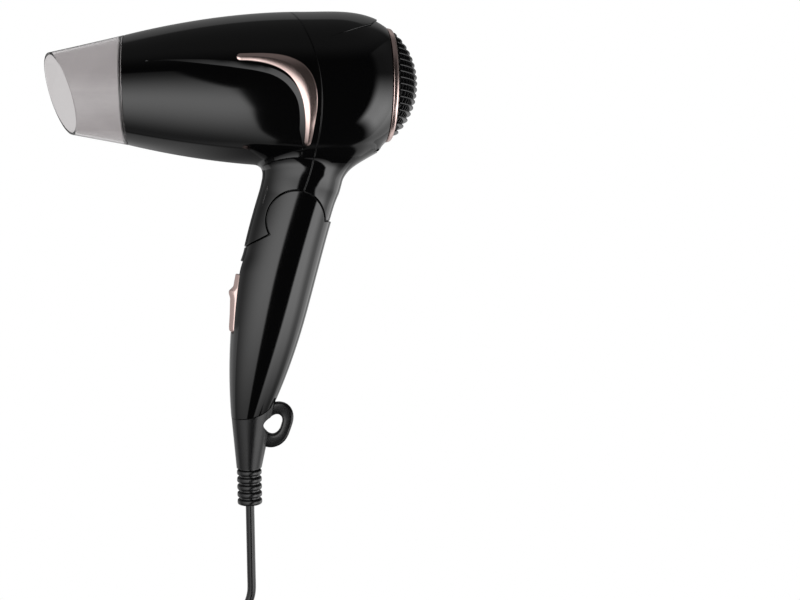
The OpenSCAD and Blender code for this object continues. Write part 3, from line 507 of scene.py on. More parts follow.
def ledge(p):
    """Distance below and in front of the ledge line in the side view."""
    a, way = LEDGE[:-1], np.diff(LEDGE, axis=0)
    dx, dz = p[:, :1] - a[:, 0], p[:, 2:] - a[:, 1]
    t = np.clip((dx * way[:, 0] + dz * way[:, 1]) / (way ** 2).sum(1), 0, 1)
    dx, dz = dx - t * way[:, 0], dz - t * way[:, 1]
    gap = np.hypot(dx, dz)
    k = gap.argmin(1)
    row = np.arange(len(p))
    return gap[row, k] * np.sign(way[k, 1] * dx[row, k] - way[k, 0] * dz[row, k])


def ledge_width(p):
    """The full width, thinned smoothly to both ends."""
    return LEDGE_WIDTH * smooth((p[:, 0] + 59) / 46) * smooth((p[:, 2] - 97.5) / 10)


def ledge_depth(p, zone):
    """Depth below the head's skin: none above the ledge, a straight ramp across its width, and from its foot
    a slow fade back to the skin, measured by a smooth least of the ways up and back to the ledge."""
    if zone == "band":
        return LEDGE_SLOPE * ledge(p)
    x, z = p[:, 0], p[:, 2]
    up, back = 142.2 - 0.045 * (x + 57.5) - z, 21.7 - x
    way = -6 * np.logaddexp(-up / 6, -back / 6)
    foot = LEDGE_SLOPE * ledge_width(p) * smooth((np.abs(p[:, 1]) - 4) / 12)
    return foot * (1 - smooth((way - 4) / LEDGE_FADE))


def head_at(uv, zone="above"):
    """The head's turned skin, joined to the neck and sunk below the ledge."""
    u, a = uv[:, 0], uv[:, 1]
    r = head_radius(u)
    out = stack(0 * a, np.sin(a), np.cos(a))
    p = stack(WIDE_X + u, 0 * u, axis_at(u)) + r[:, None] * out
    low = p[:, 2] < AXIS_Z - 8
    q = p.copy()
    q[low] = settle(p[low])
    if zone != "above":
        q -= ledge_depth(p, zone)[:, None] * out
    return q


def neck_at(uv):
    """The neck's outline, settled onto the form that it makes with the head."""
    return settle(grip_point(uv[:, 0], uv[:, 1], True))


def grip_at(uv):
    """The grip's outline, drawn in at its front towards the seam under the neck."""
    p = grip_point(uv[:, 0], uv[:, 1])
    p[:, 0] += 1.3 * smooth((33 - uv[:, 0]) / 12) * np.maximum(0, -np.cos(uv[:, 1])) ** 1.5
    return p


PARTING_X, PARTING_Z, PARTING_R = -80.0013, 118.0719, 110  # the round seam between the shells
PARTING_GAP, OVERLAP = 0.07, 0.25  # half that seam, and how far the skins of head and neck pass each other
NECK_R, CAP_R = 16.5, 15.85  # the neck's and the grip's side of the round hinge seam
SKIRT, TIP = np.radians([217.5, 12])  # where that seam runs off straight to the front and the back
SCREW_R, CLEAR = 3.1, 9.0  # screw hole, and a value that trims nothing


def sided(rule, side, shift=0.0):
    """The rule for one side of a line, with its edge moved out by a shift."""
    return lambda p: side * rule(p) + shift


def parting(p):
    """Distance outside the round seam in the side view."""
    return np.hypot(p[..., 0] - PARTING_X, p[..., 2] - PARTING_Z) - PARTING_R


def over_neck(p):
    """Distance off the neck less that off the head."""
    return off_neck(p) - off_head(p)


before_parting, behind_parting = sided(parting, -1, -PARTING_GAP), sided(parting, 1, -PARTING_GAP)
head_over_neck, neck_under_head = sided(over_neck, 1, OVERLAP), sided(over_neck, -1, OVERLAP)


def hinge_sides(p):
    """Distance from the hinge, and height over the straight ends of its seam."""
    x, z = to_grip(p)
    ray = np.where(x < 0, np.sin(SKIRT) * x - np.cos(SKIRT) * z, np.cos(TIP) * z - np.sin(TIP) * x)
    return np.hypot(x, z), ray


def neck_at_hinge(p):
    """The neck's side of the seam: outside its radius and above the straight ends."""
    r, ray = hinge_sides(p)
    return np.minimum(r - NECK_R, ray - 0.1)


def grip_at_hinge(p):
    """The grip's side of the seam: inside its radius or below the straight ends."""
    r, ray = hinge_sides(p)
    return np.maximum(CAP_R - r, -ray - 0.45)


SEAM = flow([(-40, -48.3), (-22, -48.3), (-15, -48.4), (-9.7, -47.9), (-4, -46.3), (0, -44.1), (2.0, -42.3),
             (3.0, -40.6), (4.0, -39.4), (6, -38.8), (9, -38.6), (20, -38.6)], 12)


def above_seam(p):
    """Height over the seam line, over the length of its slope."""
    before, line, after = (np.interp(p[..., 0] + d, SEAM[:, 0], SEAM[:, 1]) for d in (-0.2, 0, 0.2))
    return (p[..., 2] - line) / np.sqrt(1 + ((after - before) / 0.4) ** 2) - 0.1


def round_slot(p):
    """Outside the slot of the switch: its half width, half length and depth."""
    x, z = to_slide(p)
    return np.maximum(np.maximum(np.abs(p[..., 1]) - 7.6, np.abs(z - 3.5) - 19.9), x - 6)


def round_screws(p):
    """Outside the two screw holes, which only the right half has."""
    x, z = to_grip(p)
    gap = np.minimum(np.hypot(x - 6, z + 40), np.hypot(x + 4, z + 84))
    return np.where(p[..., 1] > 0, gap - SCREW_R, CLEAR)


def round_neck_screw(p):
    """Outside the screw hole at the back of the neck."""
    x, z = to_grip(p)
    return np.where(x > 0, np.hypot(z - 27.6, p[..., 1]) - SCREW_R, CLEAR)


def outlet_end(p):
    """Distance behind the outlet's end."""
    return p[..., 0] - WIDE_X - OUTLET_U


def rear_end(p):
    """Distance before the rear end."""
    return WIDE_X + REAR_U - p[..., 0]


def over_ledge_foot(p):
    """What is left of the ledge's width."""
    return ledge_width(p) - ledge(p)


above_ledge, under_ledge_foot = sided(ledge, -1), sided(over_ledge_foot, -1)


def turns(n):
    """Even angles once round, with the last."""
    return np.linspace(0, 2 * np.pi, n)


# Head: front and rear shell with their halves of the neck
front_u, around = np.linspace(OUTLET_U - 1, 12, 110), turns(221)
front_cuts = [(outlet_end, 0.5), (before_parting, 0.3), (head_over_neck, 0.01)]
band = trimmed(lambda uv: head_at(uv, "band"), np.linspace(-82, 2, 150),
               np.radians(np.linspace(206, 292, 100)),
               [(ledge, 0), (over_ledge_foot, 0), (before_parting, 0.02)], lip=0.5)
front = [trimmed(head_at, front_u, around, front_cuts + [(above_ledge, 0)], lip=2.0),
         trimmed(lambda uv: head_at(uv, "below"), front_u, around, front_cuts + [(under_ledge_foot, 0)],
                 lip=2.0),
         band, mirrored(band)]
front_neck = trimmed(neck_at, np.linspace(-NECK_TOP, 38, 86), turns(161),
                     [(before_parting, 0.3), (neck_at_hinge, 0.35), (neck_under_head, 0.01)], lip=1.6)
rear = [trimmed(head_at, np.linspace(-12, REAR_U + 0.5, 60), around,
                [(rear_end, 0.4), (behind_parting, 0.3), (head_over_neck, 0.01)], lip=2.0)]
rear_neck = trimmed(neck_at, np.linspace(-NECK_TOP, 20, 68), turns(161),
                    [(behind_parting, 0.3), (neck_at_hinge, 0.45), (neck_under_head, 0.01),
                     (round_neck_screw, 0.3)], lip=1.6)


def crease_at(x):
    """Height of the crease under the peak: a line that rises to the back by 22 degrees."""
    return AXIS_Z + 17.5 + (x - HINGE_X - 8.8) * np.tan(np.radians(22))


def peak_at(uv):
    """Peak over the intake: the head's radius raised by 1.2 mm times the square of the way along it, between
    the creases of both sides."""
    t, w = uv[:, 0], uv[:, 1]
    u = 8 + 34.8 * t
    r = head_radius(u) + 1.2 * t ** 2
    a = w * np.arccos(np.clip((crease_at(WIDE_X + u) - axis_at(u)) / r, -1, 1))
    return stack(WIDE_X + u, r * np.sin(a), axis_at(u) + r * np.cos(a))


def peak_side(p):
    """Height over the crease, times about the cosine of its rise."""
    return (p[..., 2] - crease_at(p[..., 0])) * 0.93 - 0.02


def peak_rim(p):
    """Distance before the slanted rim."""
    return (WIDE_X + 42.5 - p[..., 0] + 0.9 * (p[..., 2] - AXIS_Z - 37.4)) / 1.345


rear.append(trimmed(peak_at, np.linspace(0.02, 1.01, 60), np.linspace(-1.01, 1.01, 121),
                    [(peak_rim, 0.3), (peak_side, 0.35)], lip=2.6))
for word, patches, nodes in (("front_shell", front, ["front_shell"]), ("rear_shell", rear, ["rear_shell"]),
                             ("front_neck", [front_neck], ()), ("rear_neck", [rear_neck], ())):
    trimmed_piece(word + "_skin", patches, GLOSS, "head", nodes)


# Trim: a two-faceted blade along a curve on each side of the barrel

def trim_blade(side):
    """Cubic curve in the side view, widened by its half width and laid on the barrel; its height across is a
    ridge with a flat fall to each edge, and it ends in round tips."""
    t = (0.5 - 0.5 * np.cos(np.linspace(0, np.pi, 141)))[:, None]
    ends = np.array([(-35.3, 10.5), (-4.7, 10.5), (6, 3.1), (0.9, -33.4)])
    line = sum(k * t ** i * (1 - t) ** (3 - i) * ends[i] for i, k in enumerate((1, 3, 3, 1)))
    way = unit(np.gradient(line, axis=0))
    half = 1.8 + 3 * np.maximum(0, np.sin(np.pi * t[:, 0] ** 1.2)) ** 1.4
    tip = np.clip((np.abs(2 * t[:, 0] - 1) - 0.955) / 0.045, 0, 1)
    half = half * np.sqrt(1 - tip ** 2) + 0.02
    w = np.array([-1, -0.97, -0.9, -0.6, -0.3, -0.12, -0.04, 0.04, 0.12, 0.3, 0.6, 0.9, 0.97, 1.0])
    high = np.array([-0.6, 0.25, 0.52, 0.82, 1.02, 1.1, 1.12, 1.12, 1.08, 0.98, 0.8, 0.55, 0.28, -0.6])
    rise = high[None] * np.clip(half / 2.4, 0.1, 1)[:, None] ** 0.5
    x = WIDE_X + line[:, :1] - way[:, 1:] * w * half[:, None]
    z = line[:, 1:] + way[:, :1] * w * half[:, None]
    r = head_radius(x - WIDE_X)
    y = np.sqrt(np.maximum(r ** 2 - z ** 2, 1))
    grow = 1 + rise / r
    points = stack(x, side * y * grow, AXIS_Z + z * grow)
    flat = points.reshape(-1, 3)
    faces = net(*points.shape[:2])
    return flat, faces if side > 0 else faces[:, ::-1]


for word, side in (("left", -1), ("right", 1)):
    piece("trim_" + word + "_blade", [trim_blade(side)], ROSE, "head", ["trim_" + word],
          sharp=14)


# Intake: ring and domed grille
DOME_U, DOME_EDGE = 27.1, 28.9  # place of the dome's middle, and its radius at the ring
ring = rounded([(28.0, 46.75), (30.6, 46.75), (31.1, 47.3), (30.7, 49.2), (30.0, 49.9), (28.0, 49.9)], 0.45)
piece("intake_ring_band", [spun(ring)], ROSE, "head", ["intake_ring"], sharp=50)


def bar(offset, radius, thick, deep, upright):
    """A bar of the dome: a strip that thins outwards, swept along the circle that a plane at that offset cuts
    from a sphere."""
    rho = np.sqrt(radius ** 2 - offset ** 2)
    reach = np.sqrt(max(DOME_EDGE ** 2 - offset ** 2, 1.0))
    half = np.arcsin(min(0.999, reach / rho))
    b = np.linspace(-half, half, 41)[:, None]
    edge = thick * 0.27
    cut = rounded([(-deep, -thick / 2), (0, -edge), (0, edge), (-deep, thick / 2)], edge * 0.9, 4)
    out, over = cut[:, 0][None], offset + cut[:, 1][None]
    along = (rho + out) * np.sin(b)
    depth = DOME_U + (rho + out) * np.cos(b)
    y, z = (over + 0 * b, along) if upright else (along, over + 0 * b)
    return sheet(stack(WIDE_X + depth, y, axis_at(REAR_U) + z))


rim = rounded([(25.1, 47.0), (27.7, 47.0), (27.7, 50.3), (26.9, 51.0), (25.6, 51.0), (25.1, 50.4)], 0.35)
bars = [bar(3.28 * i, 37.5, 1.3, 2.9, False) for i in range(-8, 9)]
bars += [bar(2.75 * i, 36.0, 0.95, 4.0, True) for i in range(-10, 11)]
piece("intake_grille_bars", [spun(rim)] + bars, SOFT, "head", ["intake_grille"], sharp=50)


# Nozzle: one closed wall from the spigot to the slanted mouth

def nozzle_wall():
    """For each angle round the axis, the wall's own outline: the outer face from joint to mouth, the rounded
    rim, the inner face back, the end flange and the spigot. The faces run from a circle to a flat oval mouth
    whose depth slopes with its height and side."""
    a = circle(192)
    joint_u, joint_r, length, wall, tip = -94.85, 29.2, 35.5, 1.2, 0.012
    mouth_down, mouth_high, mouth_wide = 1.6, 21.9, 15

    def ring(t, inset):
        """Outlines at shares t of the way from the round joint to the mouth, drawn in by an inset."""
        t = np.asarray(t)[:, None]
        inset = np.broadcast_to(np.asarray(inset, float), t.shape[:1])[:, None]
        down = mouth_down + (mouth_high - inset) * np.cos(a)
        side = (mouth_wide - inset) * np.sin(a)
        reach = -length + 0.29 * (down - mouth_down) - 0.52 * side
        return stack((joint_r - inset) * np.cos(a) * (1 - t) + down * t,
                     (joint_r - inset) * np.sin(a) * (1 - t) + side * t, joint_u + reach * t)

    def hoop(r, u):
        """Circles of radii r at the places u."""
        r, u = np.asarray(r, float)[:, None], np.asarray(u, float)[:, None]
        return stack(r * np.cos(a), r * np.sin(a), u + 0 * a)

    turn = np.linspace(0, np.pi, 9)[1:-1]
    rim_in = wall / 2 - wall / 2 * np.cos(turn)
    rim_t = 1 - tip + tip * np.sin(turn)
    start = 0.9 / length
    rows = [hoop([28.8, 29.1], [joint_u, -94.9]), ring([0.006], 0.0),
            ring(np.linspace(0.016, 1 - tip, 40), 0.0), ring(rim_t, rim_in),
            ring(np.linspace(1 - tip, start + 0.02, 40), wall), ring([start], wall + 0.35),
            hoop([25.6, 25.1, 24.8, 24.75, 24.75, 24.9, 25.6, 26.4, 26.55, 26.55],
                 [-95.7, -95.65, -95.5, -95.2, -86.7, -86.4, -86.3, -86.4, -86.8, joint_u])]
    rows = np.concatenate(rows)
    return sheet(stack(WIDE_X + rows[..., 2], rows[..., 1], AXIS_Z - rows[..., 0]), True)


piece("nozzle_shell", [nozzle_wall()], SMOKE, "nozzle", ["nozzle"], sharp=40)


# Grip halves
grip_cuts = [(grip_at_hinge, 0.45), (above_seam, 0.35), (round_slot, 0.3)]
for word, side, start, more in (("left", -1, np.pi, []), ("right", 1, 0.0, [(round_screws, 0.3)])):
    skin = trimmed(grip_at, np.linspace(-17, 122, 150), np.linspace(start - 0.05, start + np.pi + 0.05, 110),
                   [(sided(lambda p: p[..., 1], side, -0.04), 0.18)] + grip_cuts + more)
    trimmed_piece("grip_" + word + "_skin", [skin], GLOSS, "grip", ["grip_" + word])


# Hinge: the round end of the grip, open in the middle for the neck's tongue, and the neck's hollow end
CAP_IN, CAP_OUT, SLOT = 14.2, 15.8, 7.4  # radii of the cap's plates, and half the opening between its cheeks
WEB = 6.4  # half width of the neck's inner plate


def room(a, radius, neck, inset):
    """Half width inside the outline at an angle round the hinge."""
    x, z = radius * np.cos(a), radius * np.sin(a)
    middle, half_w, half_d = section(-z, neck)
    share = np.clip(np.abs(x - middle) / (half_w - inset), 0, 1) ** OUTLINE
    return (half_d - inset) * (1 - share) ** (1 / OUTLINE)


def hinge_plate(start, end, inner, outer, low, high):
    """Plate curved round the hinge between two angles, two radii and two sides, closed at both ends. A side
    is a number or a rule on the angle."""
    a = np.radians(np.linspace(start, end, 61))
    low, high = (side(a) if callable(side) else side + 0 * a for side in (low, high))
    corners = ((outer, high), (outer, low), (inner, low), (inner, high))
    rows = np.stack([from_grip(r * np.cos(a), y, r * np.sin(a)) for r, y in corners], 1)
    ends = [np.repeat(rows[k].mean(0)[None, None], 4, 1) for k in (0, -1)]
    return sheet(np.concatenate([ends[0], rows, ends[1]]))


def cheek(a):
    """Half width of the cap's cheeks, drawn in more at the front."""
    return np.maximum(room(a, CAP_OUT, False, np.where(np.cos(a) < -0.1, 1.8, 0.5)), SLOT + 0.2)


def socket(a):
    """Half width of the neck's hollow."""
    return room(a, 16.9, True, 0.7)


cap = [hinge_plate(4, 222, CAP_IN, CAP_OUT, SLOT, cheek),
       hinge_plate(4, 222, CAP_IN, CAP_OUT, lambda a: -cheek(a), -SLOT),
       hinge_plate(-40, 84, CAP_IN, CAP_OUT, -SLOT, SLOT)]
for reach in (17.6, 19.2):
    cap.append(hinge_plate(2, 9.6, CAP_IN, reach, lambda a: -room(a, reach, False, 0.5),
                           lambda a: room(a, reach, False, 0.5)))
piece("grip_hinge_cap", cap, GLOSS, "grip", ())
hollow = [hinge_plate(15, 125, NECK_R, 17.3, lambda a: -socket(a), socket),
          hinge_plate(100, 220.5, 12.0, 20.0, -WEB, WEB)]
piece("neck_hinge_socket", hollow, GLOSS, "head", ())


def slide_button():
    """The slide's side outline, rounded at its corners and swept across its width; towards both side faces
    the outline sinks by a bevel, and each side is closed to its middle."""
    low = [(0, -16), (-4.6, -16), (-5.8, -15.2), (-6.1, -13.9), (-6.46, -6.9), (-7.2, 1.9)]
    ridge = [(-7.4, 2.8), (-8.33, 5.1), (-8.3, 6.24), (-7.4, 7.2)]
    high = [(-6.16, 8.72), (-5.65, 15.5), (-5.4, 16), (0, 16)]
    line = rounded(low + ridge + high, 0.5, 5) - [0.1, 0]
    b = np.linspace(0, np.pi / 2, 5)
    y = np.concatenate([[7.2, 7.2, 7.2, 7.1], 5.2 + 0.3 * np.cos(b[1:]), [3, 0]])
    sink = np.concatenate([[1, 0.65, 0.4, 0.34], 0.04 * (1 - np.sin(b[1:])), [0, 0]])
    y, sink = np.concatenate([-y, y[::-1]]), np.concatenate([sink, sink[::-1]])
    x = line[None, :, 0] * (1 - sink[:, None])
    z = line[None, :, 1] * (1 - 0.5 * np.maximum(0, sink[:, None] - 0.4) / 0.6 - 0.02 * (sink[:, None] > 0.3))
    return sheet(from_slide(x, y[:, None] + 0 * x, z))


piece("switch_slider_button", [slide_button()], ROSE, "slider", ["switch_slider"], sharp=30)


# Cord guard: collar, hanging loop and ribbed boot
COLLAR_INSET = 0.12


def seam_ring():
    """Where each angle of the grip's outline meets the seam, found by halving down the grip."""
    a = np.linspace(0, 2 * np.pi, 721)
    low, _ = halved(np.full(len(a), 70.0), np.full(len(a), 135.0),
                    lambda s: above_seam(grip_point(s, a, inset=COLLAR_INSET)) > -0.25, 30)
    return a, low


RING_A, RING_S = seam_ring()


def collar_at(uv):
    """Straight lines from the grip's outline at the seam, drawn in a little, to a circle at the top of the
    boot."""
    t, a = uv[:, :1], np.mod(uv[:, 1], 2 * np.pi)
    top = grip_point(np.interp(a, RING_A, RING_S), a, inset=COLLAR_INSET)
    foot = stack(GUARD_X + 7.0 * np.cos(a), 7.0 * np.sin(a), BOOT_TOP + 0 * a)
    return top * (1 - t) + foot * t


def waves(f, middle, *parts):
    """A radius round an angle: the middle value and cosines of once, twice, ... the angle less a phase."""
    return middle + sum(a * np.cos((k + 1) * f - np.radians(b)) for k, (a, b) in enumerate(parts))


def hole_radius(f):
    """Hook hole: a slanted oval drawn to a point towards the collar."""
    return waves(f, 5.05, (1.38, 140), (0.54, 108), (0.4, 177), (0.2, -81))


def round_hole(p):
    """Distance outside the hook hole's line."""
    x, z = p[..., 0] - LOOP_X, p[..., 2] - LOOP_Z
    return np.hypot(x, z) - hole_radius(np.arctan2(z, x))


def collar_rim():
    """The collar's upper edge, from its outline in to the grip's wall."""
    top, inner = (grip_point(RING_S[:-1:3], RING_A[:-1:3], inset=inset) for inset in (COLLAR_INSET, 1.6))
    lift = np.array([0.0, 0, 0.25])
    rows = [inner + lift, 0.7 * inner + 0.3 * top + lift, 0.1 * inner + 0.9 * top + 0.8 * lift, top]
    return sheet(np.stack(rows))


def hang_loop():
    """Ring round the hook hole: its section is a rounded oblong between the hole's line and a like outer
    line."""
    f, b = circle(144)[:, None], circle(40)[None]
    inner = hole_radius(f)
    outer = waves(f, 11.93, (1.48, 150), (1.3, 120), (0.4, 146), (0.15, -140))
    radial = (inner + outer) / 2 + (outer - inner) / 2 * bent(np.cos(b), 0.5)
    y = 2.9 * bent(np.sin(b), 0.5)
    return sheet(stack(LOOP_X + radial * np.cos(f), y, LOOP_Z + radial * np.sin(f)), True)


def boot():
    """Turned boot of five ribs: within each pitch the radius is a flattened arch over a narrow groove."""
    pitch, groove, end = 4.1, 0.2, 20.5
    z = np.linspace(0, end, 206)
    f = (z / pitch) % 1
    arch = np.sqrt(np.clip(1 - np.abs(2 * np.clip((f - groove) / (1 - groove), 0, 1) - 1) ** 3.2, 0, 1))
    r = np.concatenate([5.55 + 1.35 * arch, [5.9, 5.2, 4.0, 2.3]])[:, None]
    z = np.concatenate([z, [end, end, end, 20.4]])[:, None]
    a = circle(72)
    return sheet(stack(GUARD_X + r * np.cos(a), r * np.sin(a), BOOT_TOP - z))


collar = trimmed(collar_at, np.linspace(0, 1, 50), turns(145), [(round_hole, 0.7)], lip=3.6)
trimmed_piece("cord_guard_collar", [collar], SOFT, "grip", ["cord_guard"])
piece("cord_guard_boot", [collar_rim(), hang_loop(), boot()], SOFT, "grip", (), sharp=50)


# Cord: one line from the boot through the tied coil to the plug
EXIT = np.array([GUARD_X, 0, BOOT_END])
COIL = EXIT + [-28, -32, -68]


def cord_line():
    """Listed points down from the boot, then a coil in layers of 1.75 turns that wind in and out by 5.9 mm a
    turn and sink 5.9 mm over the half turn between them, then a short rise to the plug."""
    pitch, wound, between, outer = 5.9, 1.75, 0.5, 32
    drop = EXIT + np.array([(0, 0, 5), (0, 0, 0), (0, 0, -14), (0, 0, -28), (0, 0, -40), (0, 0, -47),
                            (-0.4, 0, -51), (-1.6, 0, -55), (-3.5, 0, -58.6), (-6.2, 0, -61.9),
                            (-9.3, 0, -64.5), (-13, 0, -66.4), (-17, 0, -67.6), (-21, 0, -68), (-25, 0, -68)])
    t = np.linspace(0, 8.5, 8 * 17 + 1)
    k = np.minimum(3, np.floor(t / (wound + between)))
    f = t - (wound + between) * k
    in_layer = np.minimum(f, wound)
    sink = k + np.maximum(0, f - wound) / between
    reach = outer - pitch * np.where(k % 2 == 0, in_layer, wound - in_layer)
    a = np.radians(90 + 360 * t)
    coil = COIL + stack(reach * np.cos(a), reach * np.sin(a), -pitch * sink)
    rise = np.array([0, 0, 0.3, 1, 2.1, 3, 3.3, 3.3])
    tail = coil[-1] + stack(5 + 4.0 * np.arange(8), 0 * rise, rise)
    return flow(np.concatenate([drop, coil, tail]), 4), coil[-1]


line, coil_low = cord_line()
curve = bpy.data.curves.new("mains_cord_line", "CURVE")
curve.dimensions = "3D"
curve.bevel_depth = 2.4 * MM
curve.bevel_resolution = 5
curve.use_fill_caps = True
spline = curve.splines.new("POLY")
spline.points.add(len(line) - 1)
spline.points.foreach_set("co", np.concatenate([line * MM, np.ones((len(line), 1))], 1).ravel())
spline.use_smooth = True
curve.materials.append(SOFT)
cord = added("mains_cord_line", curve)
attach(cord, "grip")
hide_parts("mains_cord", "cord_coil", "cord_tail")


def tie_band():
    """Oblong loop round the bundle of turns: a rounded rectangle swept by a rounded strip 8 mm wide."""
    t, wide = 1.0, 4.0
    path = rounded([(-8.35, -12.05), (8.35, -12.05), (8.35, 12.05), (-8.35, 12.05)], 5.0, 10)
    way = unit(np.roll(path, -1, 0) - np.roll(path, 1, 0))
    out = np.stack([way[:, 1], -way[:, 0]], 1)
    cut = rounded([(-t / 2, -wide), (t / 2, -wide), (t / 2, wide), (-t / 2, wide)], 0.35, 4)
    x, z = path[:, :1] + out[:, :1] * cut[:, 0], path[:, 1:] + out[:, 1:] * cut[:, 0]
    return sheet(COIL + [-26.84, 0, -8.85] + stack(x, cut[:, 1] + 0 * x, z), True)


tie = piece("cord_tie_band", [tie_band()], SOFT, "grip", ["cord_tie"], sharp=50)


def plug():
    """Plug body along its own axis: a ribbed neck that widens into an oblong block, each section an outline
    of power 2 to 4 with half sizes that ease from neck to block, and rounded at both ends."""
    start = coil_low + [33, 0, 3.3]
    straight, edge = 34.8, 1.2
    x = np.concatenate([[0.0, 0.0, 0.15, 0.5], np.linspace(1, straight, 120),
                        [35.3, 35.7, 35.93, 36.0, 36.0]])
    ease = smooth((x - 9) / 16)
    neck = 4.2 + 1.8 * np.clip(x / 10, 0, 1)
    neck = neck - 0.45 * (np.cos(x * 2 * np.pi / 2.5) > 0.35) * ((x > 1.5) & (x < 9))
    half_y, half_z = neck * (1 - ease) + 17.5 * ease, neck * (1 - ease) + 7.0 * ease
    end = np.sqrt(np.clip(1 - ((x - straight) / edge) ** 2, 0, 1)) * edge - edge
    end = np.where(x > straight, end, 0)
    half_y, half_z = half_y + end, half_z + end
    half_y[0] = half_z[0] = half_y[-1] = half_z[-1] = 0.01
    half_y[1] = half_z[1] = 3.7
    half_y[2] = half_z[2] = 4.05
    power = (2 / (2 + 2.2 * ease))[:, None]
    a = circle(96)
    y = half_y[:, None] * bent(np.cos(a), power)
    z = half_z[:, None] * bent(np.sin(a), power)
    return sheet(start + stack(x[:, None] + 0 * y, y, z))


plug_part = piece("plug_housing", [plug()], SOFT, "grip", ["plug_body"], sharp=40)

# CAD nodes that are shown as they are take a finish of their own
KEPT = (
    (STEEL, "steel", "motor_can thermal_cutout neck_screw motor_shaft hinge_pin hinge_washers grip_screws"),
    (INNER, "inner_black", "motor_cap motor_mount outlet_grille fan switch_body cord_clamp"),
    (MICA, "mica", "mica_upright mica_flat mica_sleeve"),
    (BOARD, "circuit_board", "rectifier_board"),
    (WIRE, "heat_wire", "heating_coil"),
    (LEAD, "lead_insulation", "grip_leads"),
    (BRASS, "steel", "plug_pins"),
)
for mat, word, nodes in KEPT:
    for node in nodes.split():
        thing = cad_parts[node]
        thing.data.materials.clear()
        thing.data.materials.append(mat)

run = np.linalg.norm(np.diff(line[line[:, 2] <= BOOT_END + 5.001], axis=0), axis=1).sum()


# Stage: pale floor, white surround and soft light

class Field(Nodes):
    """Brightness over directions: products of smooth steps in bearing, height and roll (from the front, down
    and to the back), in degrees."""

    def __init__(self, tree, way):
        super().__init__(tree)
        split = self.nodes.new("ShaderNodeSeparateXYZ")
        self.link(way, split.inputs[0])
        x, y, z = split.outputs
        front, down = self.calc("MULTIPLY", y, -1.0), self.calc("MULTIPLY", z, -1.0)
        flat = self.calc("SQRT", self.calc("ADD", self.calc("MULTIPLY", x, x), self.calc("MULTIPLY", y, y)))
        self.bearing, self.height = self.angle(x, front), self.angle(z, flat)
        self.roll = self.angle(down, front)
        self.turned, self.aside = self.calc("ABSOLUTE", self.bearing), self.calc("ABSOLUTE", x)

    def angle(self, over, under):
        """Angle in degrees whose tangent is over by under."""
        return self.calc("MULTIPLY", self.calc("ARCTAN2", over, under), 57.29578)

    def past(self, value, start, share):
        """What a value has above a start, times a share."""
        return self.calc("MULTIPLY", self.calc("MAXIMUM", self.calc("SUBTRACT", value, start), 0.0), share)

    def slanted(self, lean):
        """Bearing less a share of the height, for edges that lean."""
        return self.calc("SUBTRACT", self.bearing, self.calc("MULTIPLY", self.height, lean))

    def product(self, bright, *steps):
        """Each step is (value, low, high, start, end): from start below low to end above high."""
        for value, low, high, start, end in steps:
            node = self.nodes.new("ShaderNodeMapRange")
            node.interpolation_type = "SMOOTHSTEP"
            self.put(node.inputs["Value"], value)
            for name, number in (("From Min", low), ("From Max", high), ("To Min", start), ("To Max", end)):
                node.inputs[name].default_value = number
            bright = self.calc("MULTIPLY", bright, node.outputs[0])
        return bright

    def total(self, *parts):
        """Sum of the parts."""
        first = parts[0]
        for part in parts[1:]:
            first = self.calc("ADD", first, part)
        return first


def sky():
    """Surround: white to the camera and through clear walls; to everything else a dim room, paler behind and
    above."""
    world = bpy.data.worlds.new("surround")
    bpy.context.scene.world = world
    world.use_nodes = True
    nodes = world.node_tree.nodes
    f = Field(world.node_tree, nodes.new("ShaderNodeTexCoord").outputs["Generated"])
    light = f.total(
        0.02,
        f.product(0.1, (f.height, 30, 60, 0, 1)),
        f.product(0.26, (f.turned, 125, 150, 0, 1), (f.height, 62, 66, 1, 0), (f.height, 5, 30, 0.4, 1)),
        f.product(0.5, (f.roll, 109, 114, 0, 1), (f.aside, 0.06, 0.25, 0.1, 1)))
    mix = nodes.new("ShaderNodeMix")
    for name, value in (("Factor", f.straight()), ("A", light), ("B", 1.0)):
        f.put(mix.inputs[name], value)
    f.link(mix.outputs["Result"], nodes["Background"].inputs["Strength"])
    nodes["Background"].inputs["Color"].default_value = (1, 1, 1, 1)


def floor():
    """Pale floor that shows plain white to the camera and through clear walls."""
    mat = bpy.data.materials.new("floor")
    mat.use_nodes = True
    n = Nodes(mat.node_tree)
    nodes, link = n.nodes, n.link
    bsdf = nodes["Principled BSDF"]
    bsdf.inputs["Base Color"].default_value = (0.8, 0.8, 0.8, 1)
    bsdf.inputs["Roughness"].default_value = 0.9
    glow, mix = nodes.new("ShaderNodeEmission"), nodes.new("ShaderNodeMixShader")
    link(n.straight(), mix.inputs["Fac"])
    link(bsdf.outputs[0], mix.inputs[1])
    link(glow.outputs[0], mix.inputs[2])
    link(mix.outputs[0], nodes["Material Output"].inputs["Surface"])
    mesh = bpy.data.meshes.new("floor")
    s, z = 4.0, FLOOR_Z * MM
    mesh.from_pydata([(-s, -s, z), (s, -s, z), (s, s, z), (-s, s, z)], [], [(0, 1, 2, 3)])
    mesh.materials.append(mat)
    plane = added("floor", mesh)
    plane.visible_glossy = False
    plane.visible_shadow = False


FACES = {"front": ((0, -1, 0), (1, 0, 0), (0, 0, 1)), "left": ((-1, 0, 0), (0, -1, 0), (0, 0, 1)),
         "right": ((1, 0, 0), (0, 1, 0), (0, 0, 1)), "below": ((0, 0, -1), (1, 0, 0), (0, -1, 0))}
CUBE = 20.0  # metres


